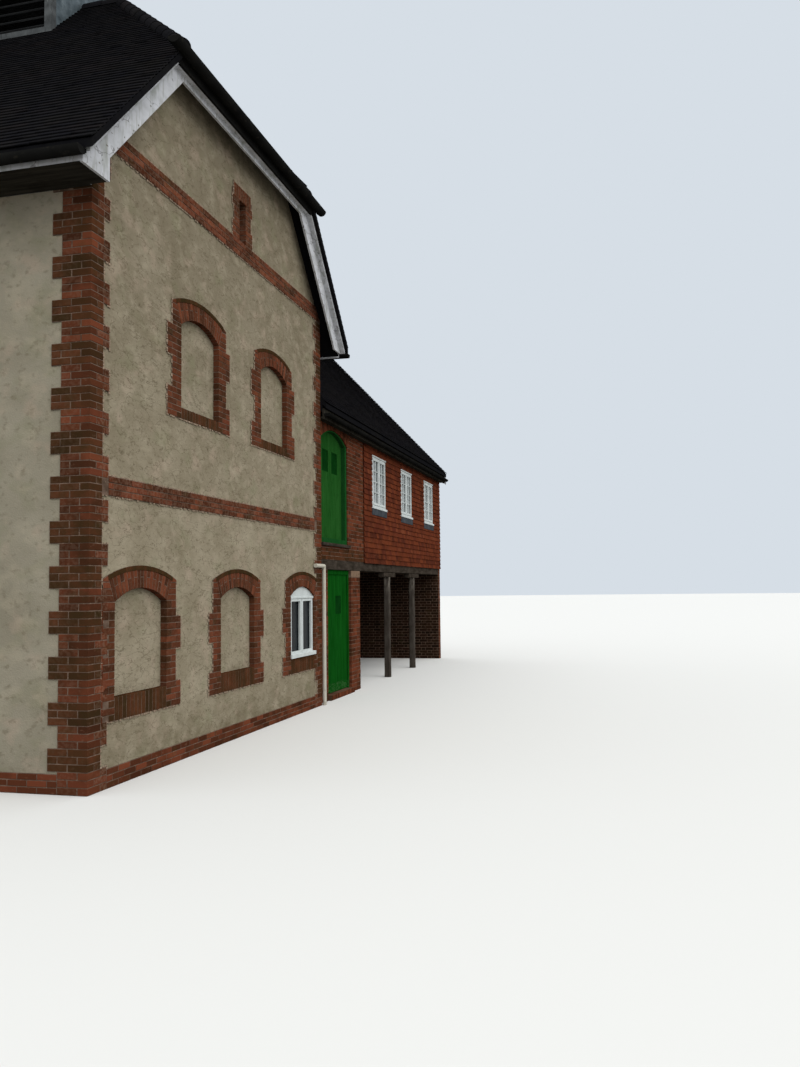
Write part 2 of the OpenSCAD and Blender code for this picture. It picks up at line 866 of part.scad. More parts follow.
module kiln_left_wall() {
    color(brick) site() {
        block([0, kiln_wall_t, 0], [kiln_wall_t, kiln_d - kiln_wall_t, plinth_h]);
        intersection() {
            block([dressing_t, kiln_wall_t, 0], [kiln_wall_t, kiln_d - kiln_wall_t, far]);
            under_kiln_roof(kiln_roof_v + fit);
        }
    }
}

module kiln_right_wall() {
    color(brick) site() intersection() {
        block([kiln_l - kiln_wall_t, kiln_wall_t, 0], [kiln_l, kiln_d - kiln_wall_t, far]);
        under_kiln_roof(kiln_roof_v + fit);
    }
}

// Ground floor and upper floor of the kiln
module kiln_floors() {
    lo = kiln_wall_t;
    color(board_brown) site() {
        block([lo, lo, 0], [kiln_l - lo, kiln_d - lo, threshold_z]);
        block([lo, lo, kiln_floor_z - kiln_floor_t], [kiln_l - lo, kiln_d - lo, kiln_floor_z]);
    }
}

// The kiln's one glazed window: two lights under a closed arched head
module kiln_window_frame() {
    x = lower_xs[2];
    z = lower_z + lower_sill_h;
    light = (lower_w - 3 * frame_w) / 2;
    y0 = dressing_t;
    along_y(y0, y0 + frame_d) difference() {
        lower_opening(x);
        for (i = [0:1])
            rect(x + frame_w + i * (light + frame_w), z + frame_w,
                 x + frame_w + i * (light + frame_w) + light, z + lower_h - frame_w);
    }
}

module kiln_window_frames() {
    color(white_paint) site() {
        kiln_window_frame();
        at_kiln_back() kiln_window_frame();
    }
}

module ventilator_frame() {
    x1 = vent_x0 + vent_w;
    y1 = vent_y0 + vent_l;
    color(white_paint) site() difference() {
        union() {
            for (x = [vent_x0, x1 - vent_post], y = [vent_y0, y1 - vent_post])
                block([x, y, vent_sill_z - vent_post], [x + vent_post, y + vent_post, vent_top_z]);
            for (x = [vent_x0, x1 - vent_post]) {
                block([x, vent_y0, vent_sill_z - vent_post], [x + vent_post, y1, vent_sill_z + vent_post]);
                block([x, vent_y0, vent_top_z - vent_post], [x + vent_post, y1, vent_top_z]);
            }
            for (y = [vent_y0, y1 - vent_post])
                block([vent_x0, y, vent_top_z - vent_post], [x1, y + vent_post, vent_top_z]);
        }
        under_kiln_roof(-fit, eps);
    }
}

// Boarded ends of the ventilator, scribed over the ridge
module ventilator_ends() {
    lo = vent_x0 + vent_post;
    hi = vent_x0 + vent_w - vent_post;
    color(lead_grey) site() difference() {
        for (y = [vent_y0 + vent_post / 4, vent_y0 + vent_l - vent_post / 4 - board_t])
            block([lo, y, vent_sill_z - vent_post], [hi, y + board_t, vent_top_z - vent_post]);
        under_kiln_roof(-fit, eps);
    }
}

module ventilator_louvres() {
    z0 = vent_sill_z + vent_post;
    z1 = vent_top_z - vent_post;
    step = (z1 - z0) / louvres;
    lo = vent_y0 + vent_post;
    hi = vent_y0 + vent_l - vent_post;
    color(slat_dark) site()
        for (side = [0, 1], i = [0:louvres - 1])
            translate([side * kiln_l, 0, 0]) mirror([side, 0, 0])
                along_y(lo, hi) translate([vent_x0 + vent_post / 2, z0 + (i + 0.5) * step])
                    rotate(slat_a) square([slat_w, slat_t], center = true);
}

module ventilator_roof() {
    out = vent_roof_out;
    half = vent_w / 2 + out;
    edge = vent_top_z - out * slope + vent_roof_v + fit;
    peak = edge + half * slope;
    mid = kiln_l / 2;
    color(tile_brown) site() {
        along_y(vent_y0 - out, vent_y0 + vent_l + out) polygon([
            [mid - half, edge - vent_roof_v], [mid - half, edge], [mid, peak], [mid + half, edge],
            [mid + half, edge - vent_roof_v], [mid, peak - vent_roof_v]
        ]);
        for (y = [vent_y0, vent_y0 + vent_l - board_t])
            along_y(y, y + board_t) polygon([
                [vent_x0, vent_top_z], [vent_x0 + vent_w, vent_top_z], [mid, peak - vent_roof_v + eps]
            ]);
    }
}

// Lead dressed over the tiles round the foot of the ventilator
module ventilator_flashing() {
    w = lead_w;
    color(lead_grey) site() intersection() {
        difference() {
            under_kiln_roof(-lead_t);
            under_kiln_roof(-fit, eps);
        }
        difference() {
            block([vent_x0 - w, vent_y0 - w, 0], [vent_x0 + vent_w + w, vent_y0 + vent_l + w, far]);
            block([vent_x0, vent_y0, -eps], [vent_x0 + vent_w, vent_y0 + vent_l, far + eps]);
            kiln_front_caps();
            at_kiln_back() kiln_front_caps();
        }
    }
}

// Brick on both sides of the entrance doorway
module entrance_piers() {
    y1 = front_y + wing_wall_t;
    color(brick) site() {
        block([kiln_l, front_y, 0], [door_x0, y1, beam_z]);
        block([door_x0 + doorway_w, front_y, 0], [kiln_l + side_wall_x, y1, beam_z]);
    }
}

module loading_opening(inset) {
    arched(kiln_l + loading_x - loading_w / 2 + inset, loading_z + inset,
           loading_w - 2 * inset, loading_h - inset, loading_rise - inset / 4);
}

// Brick wall over the entrance, with the loading door's arched opening
module entrance_upper_wall() {
    color(brick) site() difference() {
        block([kiln_l, front_y, upper_base_z],
              [kiln_l + entrance_l, front_y + wing_wall_t, wall_top_z + wing_wall_t * slope]);
        along_y(front_y - eps, front_y + wing_wall_t + eps) loading_opening(0);
        roof_space();
    }
}

// What lies above the underside of the wing's roof
module roof_space() {
    difference() {
        block([0, front_y - eps, upper_base_z], [far, back_y + eps, far]);
        under_wing_roof(-eps, wing_roof_v + fit, eps);
    }
}

// Brick wall between the entrance and the undercroft, up to the joists behind the beam
module entrance_side_wall() {
    x1 = kiln_l + side_wall_x;
    x0 = x1 - wing_wall_t;
    y1 = back_y - wing_wall_t;
    color(brick) site() {
        block([x0, front_y + wing_wall_t, 0], [x1, y1, beam_z]);
        block([x0, front_y + beam_d, 0], [x1, y1, upper_base_z]);
    }
}

// Floor of the entrance with its brick threshold in the doorway
module entrance_floor() {
    x1 = kiln_l + side_wall_x - wing_wall_t;
    color(brick) site() {
        block([kiln_l, front_y + wing_wall_t, 0], [x1, back_y - wing_wall_t, threshold_z]);
        block([door_x0, front_y - threshold_out, 0],
              [door_x0 + doorway_w, front_y + wing_wall_t, threshold_z]);
    }
}

// Door frame with the lip that the door closes against and its two hinge pins
module door_frame() {
    x1 = door_x0 + doorway_w;
    y0 = front_y + door_back;
    color(door_green) site() {
        along_y(y0, leaf_y1) difference() {
            rect(door_x0, threshold_z, x1, beam_z);
            rect(door_x0 + frame_w, threshold_z - eps, x1 - frame_w, beam_z - frame_w);
        }
        along_y(y0, y0 + lip_t) difference() {
            rect(door_x0, threshold_z, x1, beam_z);
            rect(door_x0 + frame_w + lip_w, threshold_z - eps, x1 - frame_w - lip_w,
                 beam_z - frame_w - lip_w);
        }
        for (z = hinge_zs) {
            seat = 2 * eye_r;
            block([door_x0, leaf_y1, z - seat], [hinge_x, hinge_y + pin_r, z - eye_under]);
            translate([hinge_x, hinge_y, z - seat])
                cylinder(h = seat - eye_under, r = eye_r, $fn = fine);
            translate([hinge_x, hinge_y, z - eye_r])
                cylinder(h = eye_h + eye_r + pin_past, r = pin_r, $fn = fine);
        }
    }
}

// Ledged plank door with its small panel, weatherboard, straps and hinge eyes
module plank_door() {
    x0 = kiln_l + panel_x;
    color(door_green) site() difference() {
        union() {
            difference() {
                block([leaf_x0, leaf_y0, leaf_z0], [leaf_x1, leaf_y0 + plank_t, leaf_z1]);
                block([x0, leaf_y0 - eps, panel_z],
                      [x0 + panel_w, leaf_y0 + panel_t, panel_z + panel_w]);
            }
            block([leaf_x0 + lip_w + door_gap, leaf_y0 - panel_t, leaf_z0],
                  [leaf_x1 - lip_w - door_gap, leaf_y0, leaf_z0 + weather_h]);
            for (z = hinge_zs)
                block([leaf_x0, leaf_y0 + plank_t, z - ledge_h / 2 + eye_h / 2],
                      [leaf_x1, leaf_y1, z + ledge_h / 2 + eye_h / 2]);
            for (z = hinge_zs) {
                block([hinge_x, leaf_y1, z], [leaf_x0 + strap_l, leaf_y1 + strap_t, z + eye_h]);
                translate([hinge_x, hinge_y, z]) cylinder(h = eye_h, r = eye_r, $fn = fine);
            }
        }
        for (z = hinge_zs)
            translate([hinge_x, hinge_y, z - eps])
                cylinder(h = eye_h + 2 * eps, r = pin_r + pin_gap, $fn = fine);
    }
}

module loading_door_frame() {
    y0 = front_y + loading_back;
    color(door_green) site() along_y(y0, y0 + frame_d) difference() {
        loading_opening(0);
        loading_opening(loading_frame_w);
    }
}

// Two fixed leaves behind the frame, each with its small upper panel
module loading_doors() {
    y0 = front_y + loading_back + frame_d + fit;
    mid = kiln_l + loading_x;
    color(door_green) site() difference() {
        along_y(y0, y0 + plank_t) difference() {
            loading_opening(loading_frame_w - lip_w);
            rect(mid - loading_gap / 2, 0, mid + loading_gap / 2, far);
        }
        for (side = [-1, 1])
            translate([mid + side * loading_panel_x - panel_w / 2, y0 - eps, loading_z + loading_panel_z])
                cube([panel_w, panel_t + eps, loading_panel_h]);
    }
}

spine_z = upper_base_z - beam_h;
post_xs = [for (i = [0:1]) kiln_l + post_x0 - post_s + i * post_pitch];

// Beam along the whole front and the spine beam under the joists
module floor_beams() {
    mid = kiln_d / 2;
    color(oak_grey) site() {
        block([kiln_l, front_y, beam_z], [inner_end_x, front_y + beam_d, upper_base_z]);
        block([kiln_l + side_wall_x, mid - beam_d / 2, spine_z],
              [inner_end_x, mid + beam_d / 2, upper_base_z]);
    }
}

// Posts with bolsters under the front beam and under the spine beam
module undercroft_posts() {
    mid = kiln_d / 2;
    color(oak_grey) site() for (x = post_xs, y = [front_y + post_s / 2, mid]) {
        block([x, y - post_s / 2, 0], [x + post_s, y + post_s / 2, beam_z - bolster_h]);
        block([x + post_s / 2 - bolster_l / 2, y - post_s / 2, beam_z - bolster_h],
              [x + post_s / 2 + bolster_l / 2, y + post_s / 2, beam_z]);
    }
}

// Joists and boards of the wing's upper floor
module upper_floor() {
    y0 = front_y + wing_wall_t;
    y1 = back_y - upper_wall_t;
    step = (inner_end_x - kiln_l - joist_w) / (joists - 1);
    color(board_brown) site() {
        block([kiln_l, y0, upper_floor_z - floor_t], [end_x - upper_wall_t, y1, upper_floor_z]);
        for (i = [0:joists - 1])
            block([kiln_l + i * step, y0, upper_base_z],
                  [kiln_l + i * step + joist_w, y1, upper_floor_z - floor_t]);
    }
}

wing_win_xs = [for (i = [0:2]) kiln_l + wing_win_x0 - wing_win_w / 2 + i * wing_win_pitch];

module wing_window_holes() {
    for (x = wing_win_xs) rect(x, wing_win_z, x + wing_win_w, wing_win_z + wing_win_h);
}

// Tile-hung wall over the undercroft
module front_upper_wall() {
    color(tile_red) site() difference() {
        block([kiln_l + entrance_l, front_y, upper_base_z],
              [end_x, front_y + upper_wall_t, wall_top_z + upper_wall_t * slope]);
        along_y(front_y - eps, front_y + upper_wall_t + eps) wing_window_holes();
        roof_space();
    }
}

module rear_upper_wall() {
    color(tile_red) site() difference() {
        block([kiln_l, back_y - upper_wall_t, upper_base_z],
              [end_x, back_y, wall_top_z + upper_wall_t * slope]);
        along_y(back_y - upper_wall_t - eps, back_y + eps) wing_window_holes();
        roof_space();
    }
}

module rear_wall() {
    color(brick) site()
        block([kiln_l, back_y - wing_wall_t, 0], [end_x, back_y, upper_base_z]);
}

module end_wall() {
    color(brick) site()
        block([inner_end_x, front_y, 0], [end_x, back_y - wing_wall_t, upper_base_z]);
}

module end_gable() {
    color(tile_red) site() difference() {
        block([end_x - upper_wall_t, front_y + upper_wall_t, upper_base_z],
              [end_x, back_y - upper_wall_t, wing_ridge_z]);
        roof_space();
    }
}

// One frame with two lights
module wing_window(x) {
    light = (wing_win_w - 3 * frame_w) / 2;
    difference() {
        rect(x, wing_win_z, x + wing_win_w, wing_win_z + wing_win_h);
        for (i = [0:1])
            translate([x + frame_w + i * (light + frame_w), wing_win_z + frame_w])
                square([light, wing_win_h - 2 * frame_w]);
    }
}

module wing_window_frames() {
    color(white_paint) site() for (x = wing_win_xs) {
        along_y(front_y - frame_proud, front_y - frame_proud + frame_d) wing_window(x);
        along_y(back_y + frame_proud - frame_d, back_y + frame_proud) wing_window(x);
    }
}

// A sheet of glass in each light, between the frame's members
module light_pair(x, z, w, h) {
    light = (w - 3 * frame_w) / 2;
    for (i = [0:1])
        translate([x + frame_w + i * (light + frame_w), z + frame_w])
            square([light, h - 2 * frame_w]);
}

module window_glass() {
    mid = frame_d / 2;
    kx = lower_xs[2];
    color(glass_dark) site() {
        for (x = wing_win_xs) {
            y = front_y - frame_proud + mid;
            along_y(y, y + glass_t) light_pair(x, wing_win_z, wing_win_w, wing_win_h);
            along_y(kiln_d - y - glass_t, kiln_d - y)
                light_pair(x, wing_win_z, wing_win_w, wing_win_h);
        }
        along_y(dressing_t + mid, dressing_t + mid + glass_t)
            light_pair(kx, lower_z + lower_sill_h, lower_w, lower_h);
        at_kiln_back() along_y(dressing_t + mid, dressing_t + mid + glass_t)
            light_pair(kx, lower_z + lower_sill_h, lower_w, lower_h);
    }
}

// The wing's roof as one shell, stopped on the kiln's slope and wall
module wing_roof_shell() {
    difference() {
        union() {
            difference() {
                under_wing_roof(kiln_l / 2, 0);
                under_wing_roof(kiln_l / 2 - eps, tile_v, eps);
            }
            difference() {
                intersection() {
                    under_wing_roof(kiln_l / 2, tile_v);
                    block([0, front_y - wing_eave_out + board_in, 0],
                          [end_x + wing_verge_out - board_in,
                           back_y + wing_eave_out - board_in, far]);
                }
                under_wing_roof(kiln_l / 2 - eps, wing_roof_v, eps);
            }
        }
        intersection() {
            under_kiln_roof(-fit, eps);
            block([-eps, -far, -eps], [kiln_l, far, far]);
        }
    }
}

module wing_roof_front() {
    color(tile_brown) site() intersection() {
        wing_roof_shell();
        block([0, -far, 0], [far, kiln_d / 2, far]);
    }
}

module wing_roof_back() {
    color(tile_brown) site() intersection() {
        wing_roof_shell();
        block([0, kiln_d / 2, 0], [far, far, far]);
    }
}

// Soffit and fascia along both of the wing's eaves
module wing_eaves() {
    x0 = kiln_l;
    x1 = end_x + wing_verge_out - board_in;
    color(iron_black) site() {
        along_x(x0, x1) translate([front_y, 0])
            eave_section(wing_eave_out, wing_eave_z, wing_edge_z - tile_v, soffit_t);
        along_x(x0, x1) translate([back_y, 0]) mirror([1, 0])
            eave_section(wing_eave_out, wing_eave_z, wing_edge_z - tile_v, soffit_t);
    }
}

// White pipe that leaves the gable near its corner and turns down beside it
module corner_pipe() {
    x = kiln_l + pipe_r + pipe_off;
    color(white_paint) site() {
        translate([x, -pipe_r, 0]) cylinder(h = pipe_z, r = pipe_r, $fn = 48);
        translate([x - pipe_arm, -pipe_r, pipe_z]) rotate([0, 90, 0])
            cylinder(h = pipe_arm, r = pipe_r, $fn = 48);
        translate([x, -pipe_r, pipe_z]) sphere(pipe_r, $fn = 48);
    }
}

kiln_front_wall();
kiln_back_wall();
kiln_left_wall();
kiln_right_wall();
kiln_front_render();
kiln_back_render();
kiln_side_render();
kiln_front_dressings();
kiln_back_dressings();
kiln_window_frames();
kiln_floors();
kiln_roof_left();
kiln_roof_right();
kiln_roof_hips();
ridge_tiles();
bargeboards();
kiln_eaves();
gutters();
ventilator_frame();
ventilator_ends();
ventilator_louvres();
ventilator_roof();
ventilator_flashing();
entrance_piers();
entrance_upper_wall();
entrance_side_wall();
entrance_floor();
door_frame();
plank_door();
loading_door_frame();
loading_doors();
floor_beams();
undercroft_posts();
upper_floor();
front_upper_wall();
rear_wall();
rear_upper_wall();
end_wall();
end_gable();
wing_window_frames();
window_glass();
wing_roof_front();
wing_roof_back();
wing_eaves();
corner_pipe();
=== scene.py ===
"""Looks of the oast house: bricks, tiles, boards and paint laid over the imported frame.

Sizes are in metres in the building's corner frame: X along the front from the kiln's left corner,
Y back from the kiln's front face, Z up. Each mesh is moved to the frame's own origin as it is made.
"""
from __future__ import annotations

import logging
import math
from collections.abc import Iterable, Sequence
from dataclasses import dataclass, field, replace
from enum import Enum

import bpy
import numpy as np
from mathutils import Matrix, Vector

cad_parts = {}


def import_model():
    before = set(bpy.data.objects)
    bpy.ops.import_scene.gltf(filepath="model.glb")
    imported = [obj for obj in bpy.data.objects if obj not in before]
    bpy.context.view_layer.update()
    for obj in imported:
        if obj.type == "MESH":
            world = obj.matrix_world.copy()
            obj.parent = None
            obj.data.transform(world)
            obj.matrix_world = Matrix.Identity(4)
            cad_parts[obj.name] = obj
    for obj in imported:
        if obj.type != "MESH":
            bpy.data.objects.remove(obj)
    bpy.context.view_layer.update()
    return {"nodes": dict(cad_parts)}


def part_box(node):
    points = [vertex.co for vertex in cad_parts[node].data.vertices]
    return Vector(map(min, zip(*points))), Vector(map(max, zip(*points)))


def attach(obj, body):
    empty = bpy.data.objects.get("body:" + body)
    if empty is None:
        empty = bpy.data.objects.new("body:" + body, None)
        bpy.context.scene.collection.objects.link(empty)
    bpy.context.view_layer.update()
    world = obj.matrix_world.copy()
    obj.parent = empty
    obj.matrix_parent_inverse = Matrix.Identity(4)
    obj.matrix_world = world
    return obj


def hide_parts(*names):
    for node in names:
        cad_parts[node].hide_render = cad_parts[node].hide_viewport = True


LOG = logging.getLogger("oast_house")
Array = np.ndarray
Tree, Socket = bpy.types.NodeTree, bpy.types.NodeSocket
Triple = tuple[float, float, float]
# A rectangle on a wall: x0, z0, x1, z1.
Box = tuple[float, float, float, float]

BODY = "building"
DOOR = "door"

# A brick with its joints is 225 x 112.5 x 75 mm, and the bare one is 215 mm long and 102.5 mm wide.
WHOLE_BRICK, HALF_BRICK, COURSE = 0.225, 0.1125, 0.075
BRICK_LONG, BRICK_WIDE = 0.215, 0.1025
JOINT = 0.010
BRICK_PROUD = 0.004

# Steps by which the patterns of a finish are moved apart, so that no two of them fall together.
PATCH_SHIFT, RELIEF_SHIFT, GLOSS_SHIFT = 3.7, 5.3, 11.0
GLOSS_MM = (35.0, 35.0, 35.0)
# The part of a cloud's range that holds nearly all of it, for its colours and for its gloss.
TONE_SPREAD, GLOSS_SPREAD = (0.3, 0.7), (0.35, 0.65)


# ---------------------------------------------------------------- colours and nodes


def linear(colour: str) -> tuple[float, float, float, float]:
    """Turns an sRGB hex colour into linear red, green, blue and alpha.

    Args:
        colour: The colour as "#rrggbb".

    Returns:
        Linear components, with alpha 1.
    """
    parts = [int(colour[i:i + 2], 16) / 255 for i in (1, 3, 5)]
    red, green, blue = (c / 12.92 if c <= 0.04045 else ((c + 0.055) / 1.055) ** 2.4 for c in parts)
    return red, green, blue, 1.0


def add_node(tree: Tree, kind: str, links: dict | None = None, **settings: object) -> bpy.types.Node:
    """Adds a node with its settings, values and links.

    Args:
        tree: The node tree that gets the node.
        kind: The node's type name.
        links: For each input name or index, a value or the socket it is linked from.
        settings: Attributes of the node itself.

    Returns:
        The new node.
    """
    node = tree.nodes.new(kind)
    for key, value in settings.items():
        setattr(node, key, value)
    for key, value in (links or {}).items():
        if isinstance(value, Socket):
            tree.links.new(value, node.inputs[key])
        else:
            node.inputs[key].default_value = value
    return node


class Pattern(Enum):
    """How a pattern spreads over a surface."""

    CLOUDS = "clouds"
    CRACKS = "cracks"


@dataclass(frozen=True)
class Patch:
    """A colour laid over those before it, where a pattern passes a threshold.

    size_mm is the pattern's size along X, Y and Z. band_m, if given, holds the height at which the
    patch is full and the height at which it has gone. where names an attribute that scales it.
    """

    colour: str
    size_mm: Triple
    low: float
    high: float
    strength: float = 1.0
    detail: float = 3.0
    band_m: tuple[float, float] | None = None
    where: str = ""
    pattern: Pattern = Pattern.CLOUDS


@dataclass(frozen=True)
class Relief:
    """Unevenness of a surface: a cloud's size along X, Y and Z, its depth and its octaves of detail."""

    size_mm: Triple
    depth_mm: float
    detail: float = 3.0


@dataclass(frozen=True)
class Finish:
    """One real finish: its ground colours, the patches on it, its gloss and its relief.

    The ground runs through its colours by each piece's own tone, or by a slow cloud of ground_mm
    where pieces have none.
    """

    name: str
    ground: tuple[str, ...]
    ground_mm: Triple = (300.0, 300.0, 300.0)
    by_piece: bool = False
    patches: tuple[Patch, ...] = ()
    reliefs: tuple[Relief, ...] = ()
    roughness: tuple[float, float] = (0.7, 0.9)
    ior: float = 1.5
    metallic: float = 0.0
    specular: float = 0.0

    def pattern(self, tree: Tree, place: Socket, size_mm: Triple, detail: float,
                kind: Pattern = Pattern.CLOUDS, shift: float = 0.0) -> Socket:
        """Adds a pattern of a real size.

        Args:
            tree: The material's node tree.
            place: The socket with object coordinates in metres.
            size_mm: Size of the pattern's features along each axis.
            detail: Octaves of finer detail.
            kind: Clouds, or cracks, which are the lines where a cloud n is near its middle: 1 - |2n - 1|.
            shift: How far the pattern is moved, so that two patterns differ.

        Returns:
            The pattern's value, about 0 to 1.
        """
        scale = tuple(1000.0 / size for size in size_mm)
        moved = add_node(tree, "ShaderNodeMapping", {"Vector": place, "Scale": scale, "Location": (shift,) * 3})
        clouds = add_node(tree, "ShaderNodeTexNoise", {"Vector": moved.outputs[0], "Scale": 1.0, "Detail": detail})
        if kind is Pattern.CLOUDS:
            return clouds.outputs["Fac"]
        centred = add_node(tree, "ShaderNodeMath", {0: clouds.outputs["Fac"], 1: 2.0, 2: -1.0},
                           operation="MULTIPLY_ADD")
        size = add_node(tree, "ShaderNodeMath", {0: centred.outputs[0]}, operation="ABSOLUTE")
        return add_node(tree, "ShaderNodeMath", {0: 1.0, 1: size.outputs[0]}, operation="SUBTRACT").outputs[0]

    def mask(self, tree: Tree, place: Socket, patch: Patch, shift: float) -> Socket:
        """Adds the nodes that say how strongly a patch covers each place.

        Args:
            tree: The material's node tree.
            place: The socket with object coordinates.
            patch: The patch.
            shift: How far its pattern is moved.

        Returns:
            A value from 0 to the patch's strength.
        """
        amount = add_node(tree, "ShaderNodeMapRange", {
            "Value": self.pattern(tree, place, patch.size_mm, patch.detail, patch.pattern, shift),
            "From Min": patch.low, "From Max": patch.high, "To Max": patch.strength,
        }).outputs[0]
        factors = []
        if patch.band_m:
            height = add_node(tree, "ShaderNodeSeparateXYZ", {0: place}).outputs["Z"]
            full, gone = patch.band_m
            factors.append(add_node(tree, "ShaderNodeMapRange", {
                "Value": height, "From Min": full, "From Max": gone, "To Min": 1.0, "To Max": 0.0,
            }).outputs[0])
        if patch.where:
            factors.append(add_node(tree, "ShaderNodeAttribute", attribute_name=patch.where).outputs["Fac"])
        for factor in factors:
            amount = add_node(tree, "ShaderNodeMath", {0: amount, 1: factor}, operation="MULTIPLY").outputs[0]
        return amount

    def colour(self, tree: Tree, place: Socket) -> Socket:
        """Adds the ground and the patches over it.

        Args:
            tree: The material's node tree.
            place: The socket with object coordinates.

        Returns:
            The colour's socket.
        """
        if self.by_piece:
            tone = add_node(tree, "ShaderNodeAttribute", attribute_name="tone").outputs["Fac"]
        else:
            tone = self.pattern(tree, place, self.ground_mm, 4.0)
        ramp = add_node(tree, "ShaderNodeValToRGB", {0: tone})
        stops = ramp.color_ramp.elements
        spread = (0.0, 1.0) if self.by_piece else TONE_SPREAD
        for index, (spot, colour) in enumerate(zip(np.linspace(*spread, len(self.ground)), self.ground)):
            stop = stops[index] if index < len(stops) else stops.new(spot)
            stop.position = spot
            stop.color = linear(colour)
        found = ramp.outputs["Color"]
        for index, patch in enumerate(self.patches, 1):
            amount = self.mask(tree, place, patch, PATCH_SHIFT * index)
            found = add_node(tree, "ShaderNodeMix", {0: amount, 6: found, 7: linear(patch.colour)},
                             data_type="RGBA").outputs[2]
        return found

    def normal(self, tree: Tree, place: Socket) -> Socket:
        """Adds the reliefs, each on top of the last.

        Args:
            tree: The material's node tree.
            place: The socket with object coordinates.

        Returns:
            The normal's socket.
        """
        links: dict = {}
        for index, relief in enumerate(self.reliefs):
            height = self.pattern(tree, place, relief.size_mm, relief.detail, shift=RELIEF_SHIFT * index)
            links |= {"Height": height, "Distance": relief.depth_mm / 1000.0, "Strength": 1.0}
            links["Normal"] = add_node(tree, "ShaderNodeBump", links).outputs[0]
        return links["Normal"]

    def build(self) -> bpy.types.Material:
        """Makes the material.

        Returns:
            The finished material.
        """
        material = bpy.data.materials.new(self.name)
        material.use_nodes = True
        tree = material.node_tree
        shader = tree.nodes["Principled BSDF"]
        place = add_node(tree, "ShaderNodeTexCoord").outputs["Object"]
        gloss = add_node(tree, "ShaderNodeMapRange", {
            "Value": self.pattern(tree, place, GLOSS_MM, 3.0, shift=GLOSS_SHIFT),
            "From Min": GLOSS_SPREAD[0], "From Max": GLOSS_SPREAD[1],
            "To Min": self.roughness[0], "To Max": self.roughness[1],
        })
        tree.links.new(self.colour(tree, place), shader.inputs["Base Color"])
        tree.links.new(gloss.outputs[0], shader.inputs["Roughness"])
        tree.links.new(self.normal(tree, place), shader.inputs["Normal"])
        shader.inputs["IOR"].default_value = self.ior
        shader.inputs["Metallic"].default_value = self.metallic
        shader.inputs["Specular IOR Level"].default_value = self.specular
        return material


# Soft brown-red bricks, moulded by hand and wood fired: each has its own tone, sooty, and green where wet.
STOCK_BRICK = Finish(
    "hand_made_stock_brick",
    ("#3f2418", "#4b2a1c", "#573020", "#613424", "#6b3b28", "#4f2d1f"),
    by_piece=True,
    patches=(
        Patch("#2c1e13", (420, 420, 300), 0.50, 0.68, 0.6),
        Patch("#38361f", (260, 260, 200), 0.58, 0.74, 0.4),
        Patch("#745645", (60, 60, 30), 0.62, 0.74, 0.35),
        Patch("#21170f", (12, 12, 12), 0.66, 0.76, 0.4, detail=2.0),
        Patch("#86705f", (40, 40, 40), 0.44, 0.58, 0.7, where="smear"),
        # Darkens each block by its level: real dirt on most bricks, painted shade on those beside the openings'
        # reveals.
        Patch("#2f2716", (90, 90, 90), -0.4, 0.6, 0.9, where="dirt_and_shade"),
    ),
    reliefs=(Relief((16, 16, 12), 1.2), Relief((3, 3, 3), 0.4)),
    roughness=(0.78, 0.95),
)
# The same bricks in the undercroft, their ground darkened as painted shade of the dim undercroft.
SHADED_UNDERCROFT_BRICK = replace(STOCK_BRICK, name="undercroft_brick_in_painted_shade",
                      ground=("#1a120c", "#1f150f", "#251811", "#291b13", "#2c1d15", "#20160f"))
# Lime mortar in the joints and on the rooms' walls: sandy, browned by dirt and darker in its hollows.
LIME_MORTAR = Finish(
    "lime_mortar",
    ("#54443a", "#635247", "#736154"),
    ground_mm=(120, 120, 60),
    patches=(Patch("#382d22", (300, 300, 240), 0.5, 0.68, 0.6), Patch("#8b7868", (30, 30, 30), 0.6, 0.7, 0.5)),
    reliefs=(Relief((4, 4, 4), 1.0),),
    roughness=(0.85, 0.95),
)
# Pointing where brick meets render: buff, smeared on by trowel and gone grey.
POINTING = Finish(
    "smeared_pointing_mortar",
    ("#7d6c5c", "#8b7a69", "#968573"),
    ground_mm=(50, 50, 80),
    patches=(Patch("#625444", (25, 25, 25), 0.56, 0.7, 0.6),),
    reliefs=(Relief((12, 12, 12), 2.0),),
    roughness=(0.85, 0.95),
)
# Roughcast lime render, thrown on and weathered: buff grey, darker towards the top and at its foot, with
# fine wandering cracks, trowel dabs and dark pits.
ROUGHCAST = Finish(
    "roughcast_lime_render",
    ("#7b725f", "#867d6a", "#918875"),
    ground_mm=(700, 700, 500),
    patches=(
        Patch("#544c3d", (900, 900, 900), -1.0, 0.0, 0.36, band_m=(6.6, 2.3)),
        Patch("#a0907f", (300, 300, 240), 0.54, 0.70, 0.45),
        Patch("#74745a", (420, 420, 300), 0.54, 0.72, 0.40),
        Patch("#a39a86", (210, 210, 150), 0.50, 0.70, 0.32, detail=3.0),
        Patch("#5f5644", (80, 80, 60), 0.56, 0.70, 0.42, detail=6.0),
        Patch("#4f4636", (260, 260, 110), 0.972, 0.995, 0.55, detail=5.0, pattern=Pattern.CRACKS),
        Patch("#4a4132", (34, 34, 28), 0.67, 0.74, 0.55, detail=2.0),
        Patch("#3f372b", (15, 15, 15), 0.71, 0.77, 0.5, detail=1.0),
        Patch("#5d5541", (260, 260, 160), 0.35, 0.60, 0.6, band_m=(0.15, 0.75)),
    ),
    reliefs=(Relief((70, 70, 50), 6.0, 2.0), Relief((18, 18, 16), 3.5), Relief((4, 4, 4), 0.8)),
    roughness=(0.85, 0.97),
)
# The kiln's long sides: the same render, laid smoother and less stained.
SMOOTH_RENDER = replace(ROUGHCAST, name="smooth_lime_render", ground=("#817b6b", "#898373", "#918b7b"),
                        patches=ROUGHCAST.patches[1:5], reliefs=ROUGHCAST.reliefs[1:])
